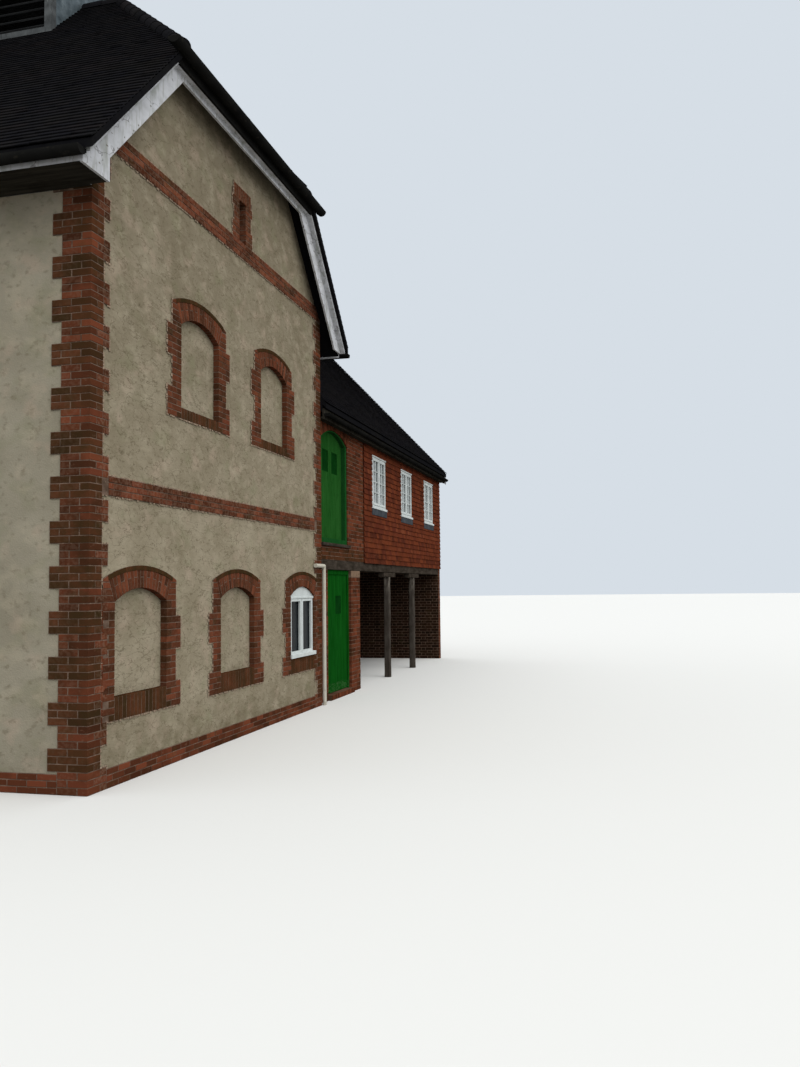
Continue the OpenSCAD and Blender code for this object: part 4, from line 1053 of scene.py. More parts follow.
@dataclass
class KilnBrickwork(Part):
    """Bricks, mortar and pointing of the kiln's gables.

    Quoin blocks are three courses high, in turn wide and narrow. least is the narrowest strip that is
    filled beside a corner brick. roof_gap is how far the corner bricks stop under the tiles. slit_sides
    are the widths of the slit's toothed sides, and slit_head is the height of the bricks over it.
    """

    rng: np.random.Generator = field(default_factory=lambda: np.random.default_rng(11))
    quoin: float = 0.225
    quoin_rows: int = 3
    narrow: float = 0.225
    wide: float = 0.337
    side_extra: float = 0.112
    least: float = 0.05
    plinth: float = 0.2
    eave: float = 6.1
    roof_gap: float = 0.23
    string_low: tuple[float, float] = (2.975, 3.18)
    string_high: tuple[float, float] = (6.63, 6.865)
    upper_x: tuple[float, ...] = (1.905, 4.355)
    lower_x: tuple[float, ...] = (0.47, 3.0, 5.53)
    slit: Box = (3.605, 6.865, 3.825, 7.445)
    slit_sides: tuple[float, float] = (0.175, 0.225)
    slit_head: float = 0.19
    clean: float = 0.1
    dirty: float = 0.72

    def windows(self) -> list[Arched]:
        """The gable's two upper and three lower openings."""
        upper = [Arched(x, z=4.05, width=1.04, sill=0.13, height=1.02, foot=0.35) for x in self.upper_x]
        lower = [Arched(x, z=0.66, width=1.1, sill=0.24, height=0.98, foot=0.285) for x in self.lower_x]
        return upper + lower

    def corner(self, right: bool) -> list[Blocks]:
        """Lays one front corner: corner bricks seen from two sides, then what fills each block.

        Args:
            right: Whether it is the corner next to the wing.

        Returns:
            Sets of blocks.
        """
        plan = self.plan
        front, side = Face(Facing.FRONT, 0.0), Face(Facing.LEFT, 0.0)
        if right:
            side = Face(Facing.RIGHT, plan.length)
        out = JOINT / 2 + BRICK_PROUD
        top = plan.kiln_edge + plan.kiln_out * plan.slope - self.roof_gap
        corners: tuple[list[Box], list[Box]] = ([], [])
        front_quads, side_quads = [], []
        for block in range(int(top / self.quoin) + 1):
            width, depth = (self.wide, self.narrow) if block % 2 == 0 else (self.narrow, self.wide)
            for row in range(self.quoin_rows):
                low = self.quoin * block + COURSE * row
                high = low + COURSE
                if high > top:
                    break
                odd = (row + block) % 2
                on_front, on_side = (HALF_BRICK, WHOLE_BRICK) if odd else (WHOLE_BRICK, HALF_BRICK)
                corners[odd].append((-out, low, on_front, high))
                if width - on_front > self.least:
                    front_quads.append(courses(on_front, width, low, high))
                if self.side_extra + depth - on_side > self.least and high <= self.eave + 0.01:
                    side_quads.append(courses(on_side, self.side_extra + depth, low, high))
        found = []
        for boxes, deep in zip(corners, (BRICK_WIDE, BRICK_LONG)):
            quads = self.turned(rects(boxes), right)
            found.append(front.blocks(quads, self.rng, deep, dirt_and_shade=self.grime(quads)))
        quads = self.turned(np.concatenate(front_quads), right)
        found.append(front.blocks(quads, self.rng, smear=0.35, dirt_and_shade=self.grime(quads)))
        quads = np.concatenate(side_quads)
        found.append(side.blocks(quads, self.rng, smear=0.15, dirt_and_shade=self.grime(quads)))
        return found

    def grime(self, quads: Array) -> Array:
        """Dirt on the corner bricks: more on the narrow blocks than on the wide ones between them."""
        block = np.floor(quads[:, :, 1].mean(axis=1) / self.quoin).astype(int)
        return np.where(block % 2 == 1, self.dirty, self.clean) + self.rng.uniform(-0.1, 0.1, len(quads))

    def turned(self, quads: Array, right: bool) -> Array:
        """Mirrors quads about the gable's middle for the right-hand corner, keeping their winding."""
        if not right:
            return quads
        other = quads[:, ::-1].copy()
        other[..., 0] = self.plan.length - other[..., 0]
        return other[:, [3, 0, 1, 2]]

    def surround(self, window: Arched) -> list[Blocks]:
        """Lays a window's surround, less what the quoins hold, and the edge on its arch.

        The bricks beside the opening, below its arch, are darkened as painted shade of the reveal, and those of the
        sill darker still.

        Args:
            window: The opening.

        Returns:
            Bricks and the edge over them.
        """
        face = Face(Facing.FRONT, 0.0)
        quads = window.quads()
        level, height = quads.mean(axis=1).T
        inside = self.wide - 0.08
        keep = (level > inside) & (level < self.plan.length - inside)
        quads, level, height = quads[keep], level[keep], height[keep]
        inner = np.abs(level - window.middle) < window.width / 2 + 0.06
        sill = inner & (height < window.z + window.sill)
        # Bricks beside the opening get painted shade of the reveal; the sill's bricks get more.
        dirt_and_shade = np.where(inner & (height < window.spring), 0.4, self.clean) + 0.35 * sill
        return [face.blocks(quads, self.rng, 0.075, smear=0.1, dirt_and_shade=dirt_and_shade),
                face.blocks(window.edge_quads(), self.rng, proud=BRICK_PROUD + 0.005, joint=0.001, dirt_and_shade=1.0)]

    def front(self) -> Blocks:
        """All bricks of the front gable.

        Returns:
            The bricks.
        """
        face = Face(Facing.FRONT, 0.0)
        plan = self.plan
        found = self.corner(False) + self.corner(True)
        windows = self.windows()
        for window in windows:
            found += self.surround(window)
        first = windows[len(self.upper_x)]
        beside = courses(self.wide - 0.112, first.x - first.narrow + 0.01, first.z, first.spring)
        found.append(face.blocks(beside, self.rng, proud=0.003))
        for low, high in (self.string_low, self.string_high):
            edge = 0.0 if low > self.eave else self.wide
            found.append(face.blocks(courses(edge, plan.length - edge, low, high), self.rng, proud=0.006, smear=0.25))
        found.append(face.blocks(self.slit_quads(), self.rng, 0.1, smear=0.3, dirt_and_shade=0.2))
        found.append(face.blocks(courses(self.wide, plan.length - self.wide, 0.0, self.plinth), self.rng))
        side = courses(self.narrow + self.side_extra, plan.depth / 2, 0.0, self.plinth)
        found.append(Face(Facing.LEFT, 0.0).blocks(side, self.rng))
        return Blocks.joined(found)

    def slit_quads(self) -> Array:
        """Bricks round the slit: toothed sides and a soldier course over it.

        Returns:
            Quads (n, 4, 2).
        """
        x0, z0, x1, z1 = self.slit
        narrow, wide = self.slit_sides
        lip = 0.008
        found = []
        for index, side in enumerate((wide, narrow, wide)):
            low, high = z0 + index * self.quoin, min(z0 + (index + 1) * self.quoin, z1)
            found.append(courses(x0 - side, x0 + lip, low, high, lap=index))
            found.append(courses(x1 - lip, x1 + side, low, high, lap=index))
        found.append(soldiers(x0 - narrow, x1 + narrow, z1 - lip, z1 + self.slit_head))
        return np.concatenate(found)

    def boxes(self) -> Array:
        """Boxes that the gable's brickwork fills.

        Returns:
            Boxes (n, 4).
        """
        length = self.plan.length
        found = [(0.0, low, length, high) for low, high in (self.string_low, self.string_high)]
        for block in range(int(self.string_high[0] / self.quoin) + 1):
            width = self.wide if block % 2 == 0 else self.narrow
            low, high = self.quoin * block, self.quoin * (block + 1)
            found += [(0.0, low, width, high), (length - width, low, length, high)]
        for window in self.windows():
            found += window.edge_boxes()
        x0, z0, x1, z1 = self.slit
        narrow, wide = self.slit_sides
        found += [(x0 - narrow, z0, x1 + narrow, z1 + self.slit_head), (x0 - wide, z0, x1 + wide, z0 + self.quoin),
                  (x0 - wide, z0 + 2 * self.quoin, x1 + wide, z1)]
        return np.array(found)

    def pointing(self, step: float = 0.022) -> Blocks:
        """Dabs of mortar along the outer edges of the brickwork.

        Each box's edges are walked in even steps. A dab is three quarters of a step long and stands just
        outside the edge. It stays where no other box covers its place, and where it isn't in an arch.

        Args:
            step: Distance between two dabs.

        Returns:
            The dabs.
        """
        plan = self.plan
        boxes = self.boxes()
        half = step * 0.75
        spots, sizes = [], []
        for x0, z0, x1, z1 in boxes:
            up, across = np.arange(z0, z1, step), np.arange(x0, x1, step)
            for x in (x0 - 0.008, x1 + 0.008):
                spots.append(np.stack([np.full(len(up), x), up], 1))
                sizes.append(np.stack([self.rng.uniform(0.006, 0.017, len(up)), np.full(len(up), half)], 1))
            for z in (z0 - 0.006, z1 + 0.006):
                spots.append(np.stack([across, np.full(len(across), z)], 1))
                sizes.append(np.stack([np.full(len(across), half), self.rng.uniform(0.004, 0.012, len(across))], 1))
        spot, size = np.concatenate(spots), np.concatenate(sizes)
        level, height = spot.T
        covered = ((level[:, None] > boxes[:, 0]) & (level[:, None] < boxes[:, 2]) &
                   (height[:, None] > boxes[:, 1]) & (height[:, None] < boxes[:, 3])).any(axis=1)
        roof = plan.kiln_edge + (plan.kiln_out + np.minimum(level, plan.length - level)) * plan.slope - 0.32
        keep = ~covered & (level > 0.02) & (level < plan.length - 0.02) & (height < roof) & (height > self.plinth)
        keep &= self.rng.random(len(spot)) < 0.5
        for window in self.windows():
            near = np.abs(level - window.x - window.width / 2) < window.width / 2 + window.narrow
            keep &= ~(near & (height > window.spring + 0.02) & (height < window.spring + window.ring + 0.3))
        spot, size = spot[keep], size[keep]
        quads = rects(np.concatenate([spot - size, spot + size], axis=1))
        return Face(Facing.FRONT, 0.0).blocks(quads, self.rng, 0.012, proud=-0.006, joint=0.0, rough=0.004)

    def build(self) -> None:
        """Lays both gables, and the pointing between their bricks and render."""
        depth = self.plan.depth
        front, dabs = self.front(), self.pointing()
        self.maker.block_mesh("kiln_front_bricks", front, STOCK_BRICK, "brick")
        self.maker.block_mesh("kiln_back_bricks", front.mirrored(depth, self.rng), STOCK_BRICK, "brick")
        self.maker.block_mesh("kiln_front_pointing", dabs, POINTING, "render", 0.002)
        self.maker.block_mesh("kiln_back_pointing", dabs.mirrored(depth, self.rng), POINTING, "render", 0.002)


@dataclass
class WingBrickwork(Part):
    """Bricks of the entrance bay, the undercroft and the wing's rear and end walls.

    door is the entrance from side to side, and bay_top where the wall over it goes behind the eave. The
    pier's bricks reach pier_top, and the sooty ones over the entrance reach soot_top.
    """

    rng: np.random.Generator = field(default_factory=lambda: np.random.default_rng(23))
    door: tuple[float, float] = (7.6, 9.02)
    bay_top: float = 5.0
    pier_top: float = 2.2
    soot_top: float = 2.76
    threshold: float = 0.094
    lip: float = 0.008
    loading: Arched = field(default_factory=lambda: Arched(
        x=7.28, z=2.8, width=1.56, sill=0.0, height=1.9, foot=0.0, rise=0.2, ring=0.215, narrow=0.12, skew=0.1))

    def bay_quads(self) -> Array:
        """Courses over the entrance, left out where the loading door and its arch ring stand.

        Returns:
            Quads (n, 4, 2).
        """
        plan, arch = self.plan, self.loading
        x0, x1 = arch.x + self.lip, arch.x + arch.width - self.lip
        left = courses(plan.length, x0, plan.upper, arch.spring, flemish=True)
        right = courses(x1, plan.bay, plan.upper, arch.spring, flemish=True, lap=1)
        under = courses(x0, x1, plan.upper, arch.z, flemish=True)
        over = courses(plan.length, plan.bay, arch.spring, self.bay_top, flemish=True, lap=1)
        middle = over.mean(axis=1)
        radius = arc_radius(arch.width + 2 * arch.skew, arch.rise)
        centre = np.array([arch.middle, arch.spring + arch.ring + arch.rise - radius])
        beside = np.abs(middle[:, 0] - centre[0]) > arch.width / 2 + arch.skew
        above = np.linalg.norm(middle - centre, axis=1) > radius
        return np.concatenate([left, right, under, over[above | beside]])

    def entrance(self) -> Blocks:
        """Bricks of the entrance's piers, the wall over it and the threshold.

        Returns:
            The bricks.
        """
        plan = self.plan
        front, outer = Face(Facing.FRONT, plan.wing_in), Face(Facing.RIGHT, plan.side)
        left, right = self.door
        bay = self.bay_quads()
        soot = np.where(bay[:, :, 1].mean(axis=1) < self.soot_top, 0.6, 0.05)
        found = [
            front.blocks(courses(plan.length, left + self.lip, 0.0, plan.beam), self.rng, 0.06),
            front.blocks(bay, self.rng, 0.05, dirt_and_shade=soot),
            front.blocks(self.loading.ring_quads(), self.rng, 0.06, proud=0.009),
            Face(Facing.FRONT, plan.wing_in - 0.06).blocks(soldiers(left, right, 0.0, self.threshold), self.rng, 0.2),
        ]
        rows = np.arange(round(self.pier_top / COURSE))
        rise = self.pier_top / len(rows)
        low = rows * rise
        width = np.where(rows % 2 == 0, BRICK_LONG, HALF_BRICK)
        corner = rects(np.stack([plan.side - width, low, np.full(len(rows), plan.side + 0.009), low + rise], axis=1))
        for odd, deep in enumerate((BRICK_WIDE, BRICK_LONG)):
            found.append(front.blocks(corner[odd::2], self.rng, deep))
        for row in rows:
            bed = courses(right - self.lip, plan.side - width[row], low[row], low[row] + rise, lap=int(row))
            found.append(front.blocks(bed, self.rng, 0.06))
        far = plan.back - plan.wall
        for row in rows:
            start = plan.wing_in + (HALF_BRICK if row % 2 == 0 else WHOLE_BRICK)
            bed = courses(start, far, low[row], low[row] + rise, flemish=True, lap=int(row))
            found.append(outer.blocks(bed, self.rng))
        top = courses(plan.wing_in + 0.3, far, self.pier_top, plan.upper, flemish=True)
        return Blocks.joined([*found, outer.blocks(top, self.rng)])

    def undercroft(self) -> Blocks:
        """Bricks on the inner faces of the rear and end walls.

        Returns:
            The bricks.
        """
        plan = self.plan
        far, end = plan.back - plan.wall, plan.wing_end - plan.wall
        return Blocks.joined([
            Face(Facing.FRONT, far).blocks(courses(plan.side, end, 0.0, plan.upper, flemish=True), self.rng),
            Face(Facing.LEFT, end).blocks(courses(plan.wing_in, far, 0.0, plan.upper, flemish=True), self.rng),
        ])

    def outer_walls(self) -> Blocks:
        """Bricks of the rear and end walls outside, and of the end wall's front edge.

        Returns:
            The bricks.
        """
        plan = self.plan
        rear = courses(plan.length, plan.wing_end, 0.0, plan.upper, flemish=True)
        end = courses(plan.wing_in, plan.back, 0.0, plan.upper, flemish=True, lap=1)
        edge = courses(plan.wing_end - plan.wall, plan.wing_end, 0.0, plan.upper)
        return Blocks.joined([
            Face(Facing.BACK, plan.back).blocks(rear, self.rng),
            Face(Facing.RIGHT, plan.wing_end).blocks(end, self.rng),
            Face(Facing.FRONT, plan.wing_in).blocks(edge, self.rng),
        ])

    def build(self) -> None:
        """Lays the wing's bricks, the padstone on the pier and the loading door's sill."""
        plan = self.plan
        self.maker.block_mesh("entrance_bricks", self.entrance(), STOCK_BRICK, "brick")
        # The undercroft's bricks take a ground darkened as painted shade.
        self.maker.block_mesh("undercroft_bricks", self.undercroft(), SHADED_UNDERCROFT_BRICK, "brick")
        self.maker.block_mesh("rear_and_end_bricks", self.outer_walls(), STOCK_BRICK, "brick")
        stone = bars([(self.door[1] + 0.01, 2.205, plan.side + 0.006, 2.328)],
                     plan.wing_in - 0.006, plan.wing_in + 0.22)
        sill = bars([(7.26, 2.755, 8.9, 2.812)], plan.wing_in - 0.045, plan.wing_in + 0.08)
        self.maker.block_mesh("pier_padstone", stone, LIMESTONE, "brick", 0.006)
        self.maker.block_mesh("loading_door_sill", sill, GREY_OAK_BEAM, "grey_timber", 0.006)


# ---------------------------------------------------------------- tiles


@dataclass(frozen=True)
class Slope:
    """A plane that tiles lie on: a point on its lower edge, the way along it, the way up it and out of it."""

    start: Array
    along: Array
    up: Array
    out: Array


@dataclass(frozen=True)
class Stretch:
    """A tiled part of a plane, between two distances up it.

    left and right are its ends along the plane, at its lower edge. The slants are how far they move for
    each metre up.
    """

    low: float
    high: float
    left: float
    right: float
    left_slant: float = 0.0
    right_slant: float = 0.0

    def ends(self, up: float) -> tuple[float, float]:
        """Where it starts and ends at a distance up the plane."""
        return self.left + self.left_slant * (up - self.low), self.right + self.right_slant * (up - self.low)


@dataclass
class Tiler:
    """Lays plain tiles in lapped courses on a plane.

    A tile's lower edge stands off the plane by tail and its upper edge by head. joint is half the space
    between two tiles, and least the sum of a cut tile's lower and upper edge under which it is left out.
    """

    width: float = 0.165
    gauge: float = 0.1
    lap: float = 0.03
    thick: float = 0.012
    tail: float = 0.026
    head: float = 0.009
    joint: float = 0.001
    least: float = 0.03

    def spans(self, stretch: Stretch, low: float, high: float, shift: float) -> Array:
        """Cuts one course of tiles to its stretch.

        Args:
            stretch: Where the course runs.
            low: How far up the plane its lower edge is.
            high: How far up the plane its upper edge is.
            shift: Where a joint of the course would stand.

        Returns:
            (n, 4): lower left, lower right, upper right and upper left, along the course.
        """
        (left, right), (left_above, right_above) = stretch.ends(low), stretch.ends(high)
        first = math.floor((min(left, left_above) - shift) / self.width) * self.width + shift
        edges = np.arange(first, max(right, right_above) + self.width, self.width)
        below, above = np.clip(edges, left, right), np.clip(edges, left_above, right_above)
        spans = np.stack([below[:-1], below[1:], above[1:], above[:-1]], axis=1)
        return spans[(spans[:, 1] - spans[:, 0]) + (spans[:, 2] - spans[:, 3]) > self.least]

    def lay(self, slope: Slope, rise: float, stretches: Sequence[Stretch], rng: np.random.Generator) -> Blocks:
        """Covers part of a plane. A slow wave and a small random lift, shift and turn make it uneven.

        Args:
            slope: The plane.
            rise: Length of the plane up its slope.
            stretches: Its tiled parts.
            rng: Source of the small differences.

        Returns:
            The tiles as blocks.
        """
        found, tones = [], []
        rows = round(rise / self.gauge)
        gauge = rise / rows
        for row in range(rows):
            low, high = row * gauge, (row + 1) * gauge + (self.lap if row < rows - 1 else 0.0)
            for stretch in stretches:
                if not stretch.low - 1e-6 <= low + gauge / 2 < stretch.high:
                    continue
                spans = self.spans(stretch, low, high, self.width / 2 if row % 2 else 0.0)
                count = len(spans)
                if not count:
                    continue
                spans = spans + self.joint * np.array([1, -1, -1, 1]) + rng.uniform(-0.0008, 0.0008, (count, 4))
                slip = rng.normal(0.0, 0.0016, (count, 1)) + rng.uniform(-0.001, 0.001, (count, 2))
                up = np.concatenate([low + np.maximum(slip, -0.002), np.full((count, 2), high)], axis=1)
                lift = np.concatenate([self.tail + np.abs(rng.normal(0, 0.0018, (count, 2))),
                                       np.full((count, 2), self.head)], axis=1)
                corners = slope.start + spans[..., None] * slope.along + up[..., None] * slope.up
                lift = lift + 0.004 * (1 + wave(corners, 2.3, 1.7))
                found.append(corners + lift[..., None] * slope.out)
                tones.append(0.4 * rng.random() + 0.6 * rng.random(count))
        fronts = np.concatenate(found)
        if np.dot(np.cross(slope.along, slope.up), slope.out) < 0:
            fronts = fronts[:, ::-1]
        return Blocks(fronts, np.tile(-slope.out * self.thick, (len(fronts), 1)), np.concatenate(tones))


@dataclass
class Roofs(Part):
    """Tiles of the kiln's and the wing's roofs, and the round tiles on their hips and ridges.

    ridge_r is the round tiles' radius, shell how far their outer and inner faces stand from it, pitch
    about how long one is, and sink how far they sink into the roof. A hip's tiles start hip_start in from
    the corner and stop hip_stop short of the ridge. The ridge's tiles start knee_lap before the hips meet
    and stop ventilator from the roof's middle.
    """

    rng: np.random.Generator = field(default_factory=lambda: np.random.default_rng(5))
    ridge_r: float = 0.092
    shell: tuple[float, float] = (0.010, -0.012)
    pitch: float = 0.33
    sink: float = 0.045
    hip_start: float = 0.115
    hip_stop: float = 0.06
    knee_lap: float = 0.05
    ventilator: float = 1.11

    def slope_of(self, start: Triple, along: Triple, inward: Triple) -> Slope:
        """A roof plane from a point on its eave, the way along it and the level way in."""
        sin, cos = math.sin(math.atan(self.plan.slope)), self.plan.cos
        up = np.array(inward) * cos + np.array([0.0, 0.0, sin])
        out = -np.array(inward) * sin + np.array([0.0, 0.0, cos])
        return Slope(np.array(start), np.array(along), up, out)

    def place(self, name: str, tiles: Blocks) -> None:
        """Makes one piece of roof tiles."""
        self.maker.block_mesh(name, tiles, ROOF_TILE, "roof_tile", 0.0)

    def kiln(self, tiler: Tiler) -> None:
        """Tiles the kiln's two slopes, the right one round the wing's roof, and its two half hips.

        Args:
            tiler: Lays the tiles.
        """
        plan = self.plan
        cos, depth = plan.cos, plan.depth
        rise = (plan.length / 2 + plan.kiln_out) / cos
        turn = (plan.hip_x + plan.kiln_out) / cos
        low, high = -plan.verge_out, depth + plan.verge_out
        slope = self.slope_of((-plan.kiln_out, 0.0, plan.kiln_edge), (0, 1, 0), (1, 0, 0))
        self.place("kiln_left_tiles", tiler.lay(slope, rise, [
            Stretch(0.0, turn, low, high), Stretch(turn, rise, low, high, cos, -cos)], self.rng))
        near = plan.wing_in - plan.wing_out + (plan.kiln_edge - plan.wing_edge) / plan.slope
        crown = (plan.wing_ridge - plan.kiln_edge) / plan.slope / cos
        slide = (crown - turn) * cos
        slope = self.slope_of((plan.length + plan.kiln_out, 0.0, plan.kiln_edge), (0, 1, 0), (-1, 0, 0))
        self.place("kiln_right_tiles", tiler.lay(slope, rise, [
            Stretch(0.0, turn, low, near, 0.0, cos),
            Stretch(0.0, turn, depth - near, high, -cos, 0.0),
            Stretch(turn, crown, low, near + turn * cos, cos, cos),
            Stretch(turn, crown, depth - near - turn * cos, high, -cos, -cos),
            Stretch(crown, rise, low + slide, high - slide, cos, -cos)], self.rng))
        run = plan.hip_drop / plan.slope / cos
        hip = Stretch(0.0, run, plan.hip_x, plan.length - plan.hip_x, cos, -cos)
        self.place("kiln_hip_tiles", Blocks.joined(
            tiler.lay(self.slope_of((0.0, y, plan.hip_edge), (1, 0, 0), (0, inward, 0)), run, [hip], self.rng)
            for y, inward in ((low, 1), (high, -1))))

    def wing(self, tiler: Tiler) -> None:
        """Tiles the wing's two slopes, stopped on the kiln's wall and roof.

        Args:
            tiler: Lays the tiles.
        """
        plan = self.plan
        rise = (plan.depth / 2 - plan.wing_in + plan.wing_out) / plan.cos
        meet = (plan.kiln_edge + plan.kiln_out * plan.slope - plan.wing_edge) / plan.slope / plan.cos
        end = plan.wing_end + plan.wing_verge
        stretches = [Stretch(0.0, meet, plan.length + 0.004, end), Stretch(meet, rise, plan.length, end, -plan.cos)]
        for name, y, inward in (("wing_front_tiles", plan.wing_in - plan.wing_out, 1),
                                ("wing_back_tiles", plan.back + plan.wing_out, -1)):
            slope = self.slope_of((0.0, y, plan.wing_edge), (1, 0, 0), (0, inward, 0))
            self.place(name, tiler.lay(slope, rise, stretches, self.rng))

    def round_tiles(self, start: Triple, end: Triple) -> tuple[Array, Array]:
        """Half-round tiles end to end along a line.

        A tile's section is two arcs of 196 degrees, one inside the other, carried from end to end. Each
        tile is a little wider at its lower end.

        Args:
            start: Lower end of the line, from which the tiles sink a little.
            end: Upper end of the line.

        Returns:
            Points and faces.
        """
        start, end = (np.array(point) - np.array([0.0, 0.0, self.sink]) for point in (start, end))
        length = np.linalg.norm(end - start)
        way = (end - start) / length
        up = np.array([0.0, 0.0, 1.0]) - way[2] * way
        up /= np.linalg.norm(up)
        side = np.cross(way, up)
        turn = np.radians(np.linspace(-8, 188, 11))
        arcs = np.stack([np.cos(turn), np.sin(turn)], axis=1)
        stops = np.linspace(0, length, max(1, round(length / self.pitch)) + 1)
        shells = []
        for near, far in zip(stops[:-1] + 0.004, stops[1:] - 0.004):
            for at, grow in ((near, 0.008), (far, 0.0)):
                outer, inner = (self.ridge_r + face + grow for face in self.shell)
                loop = np.concatenate([arcs * outer, arcs[::-1] * inner])
                shells.append(start + at * way + loop[:, :1] * side + loop[:, 1:] * up)
        half, ring = len(turn), 2 * len(turn)
        ends = [[ring - 1 - i, ring - 2 - i, i + 1, i] for i in range(half - 1)]
        ends += [[ring + i, ring + i + 1, 2 * ring - 2 - i, 2 * ring - 1 - i] for i in range(half - 1)]
        faces = repeated(np.concatenate([ring_faces(2, ring), ends]), 2 * ring, len(stops) - 1)
        return np.concatenate(shells), faces

    def edges(self) -> None:
        """Lays the round tiles on the kiln's hips and ridge and on the wing's ridge."""
        plan = self.plan
        middle, top = plan.length / 2, plan.ridge
        foot_z, head_z = plan.hip_edge + self.hip_start * plan.slope, top - self.hip_stop * plan.slope
        lines = []
        for y, way in ((-plan.verge_out, 1), (plan.depth + plan.verge_out, -1)):
            knee = y + way * (plan.hip_drop / plan.slope)
            for side in (-1, 1):
                foot_x = middle + side * (middle - plan.hip_x - self.hip_start)
                lines.append(((foot_x, y + way * self.hip_start, foot_z),
                              (middle + side * self.hip_stop, knee - way * self.hip_stop, head_z)))
            lines.append(((middle, knee - way * self.knee_lap, top),
                          (middle, plan.depth / 2 - way * self.ventilator, top)))
        meet = plan.length + plan.kiln_out - (plan.wing_ridge - plan.kiln_edge) / plan.slope
        lines.append(tuple((x, plan.depth / 2, plan.wing_ridge) for x in (meet, plan.wing_end + plan.wing_verge)))
        shapes = [self.round_tiles(*line) for line in lines]
        tones = [np.repeat(self.rng.random(len(points) // 44), 44) for points, _ in shapes]
        self.maker.mesh("ridge_and_hip_tiles", *merged(shapes), ROOF_TILE, "roof_tile",
                        attributes={"tone": np.concatenate(tones)})

    def build(self) -> None:
        """Lays every roof."""
        tiler = Tiler()
        self.kiln(tiler)
        self.wing(tiler)
        self.edges()


@dataclass
class HungTiles(Part):
    """Tiles hung on the wing's upper walls, left out at its windows.

    The lowest course hangs from low. top is where the front's and the rear's tiles end, and eave_gap how
    far under the roof's tiles those of the gable end start to narrow.
    """

    rng: np.random.Generator = field(default_factory=lambda: np.random.default_rng(31))
    low: float = 2.5
    top: float = 5.02
    eave_gap: float = 0.24
    window_gap: float = 0.005

    def stretches(self, start: float, end: float) -> list[Stretch]:
        """The tiled parts of a wall from start to end, round its three windows."""
        plan = self.plan
        low, high = (z - self.low for z in plan.window_z)
        sides = [(x - self.window_gap, x + plan.window_w + self.window_gap) for x in plan.window_x]
        edges = [start, *(edge for pair in sides for edge in pair), end]
        return [Stretch(0.0, low, start, end), Stretch(high, math.inf, start, end),
                *(Stretch(low, high, left, right) for left, right in zip(edges[::2], edges[1::2]))]

    def wall(self, facing: Facing, at: float) -> Slope:
        """The plane of an upright wall, from its lowest course up."""
        out = np.array([*facing.value, 0.0])
        return Slope(np.abs(out) * at + np.array([0.0, 0.0, self.low]), np.abs(out[[1, 0, 2]]),
                     np.array([0.0, 0.0, 1.0]), out)

    def build(self) -> None:
        """Hangs the tiles on the front, the rear and the gable end."""
        plan = self.plan
        tiler = Tiler(gauge=0.108, lap=0.02, tail=0.03, head=0.012)
        eave = plan.wing_edge + plan.wing_out * plan.slope - self.eave_gap - self.low
        peak = eave + (plan.back - plan.wing_in) / 2 * plan.slope
        over, rise = 1 / plan.slope, self.top - self.low
        for name, facing, at, height, stretches in (
            ("front_hung_tiles", Facing.FRONT, plan.wing_in, rise, self.stretches(plan.bay, plan.wing_end)),
            ("rear_hung_tiles", Facing.BACK, plan.back, rise, self.stretches(plan.length, plan.wing_end)),
            ("end_hung_tiles", Facing.RIGHT, plan.wing_end, peak, [
                Stretch(0.0, eave, plan.wing_in, plan.back),
                Stretch(eave, peak, plan.wing_in, plan.back, over, -over)]),
        ):
            tiles = tiler.lay(self.wall(facing, at), height, stretches, self.rng)
            self.maker.block_mesh(name, tiles, HUNG_TILE, "hung_tile", 0.0)


# ---------------------------------------------------------------- joinery


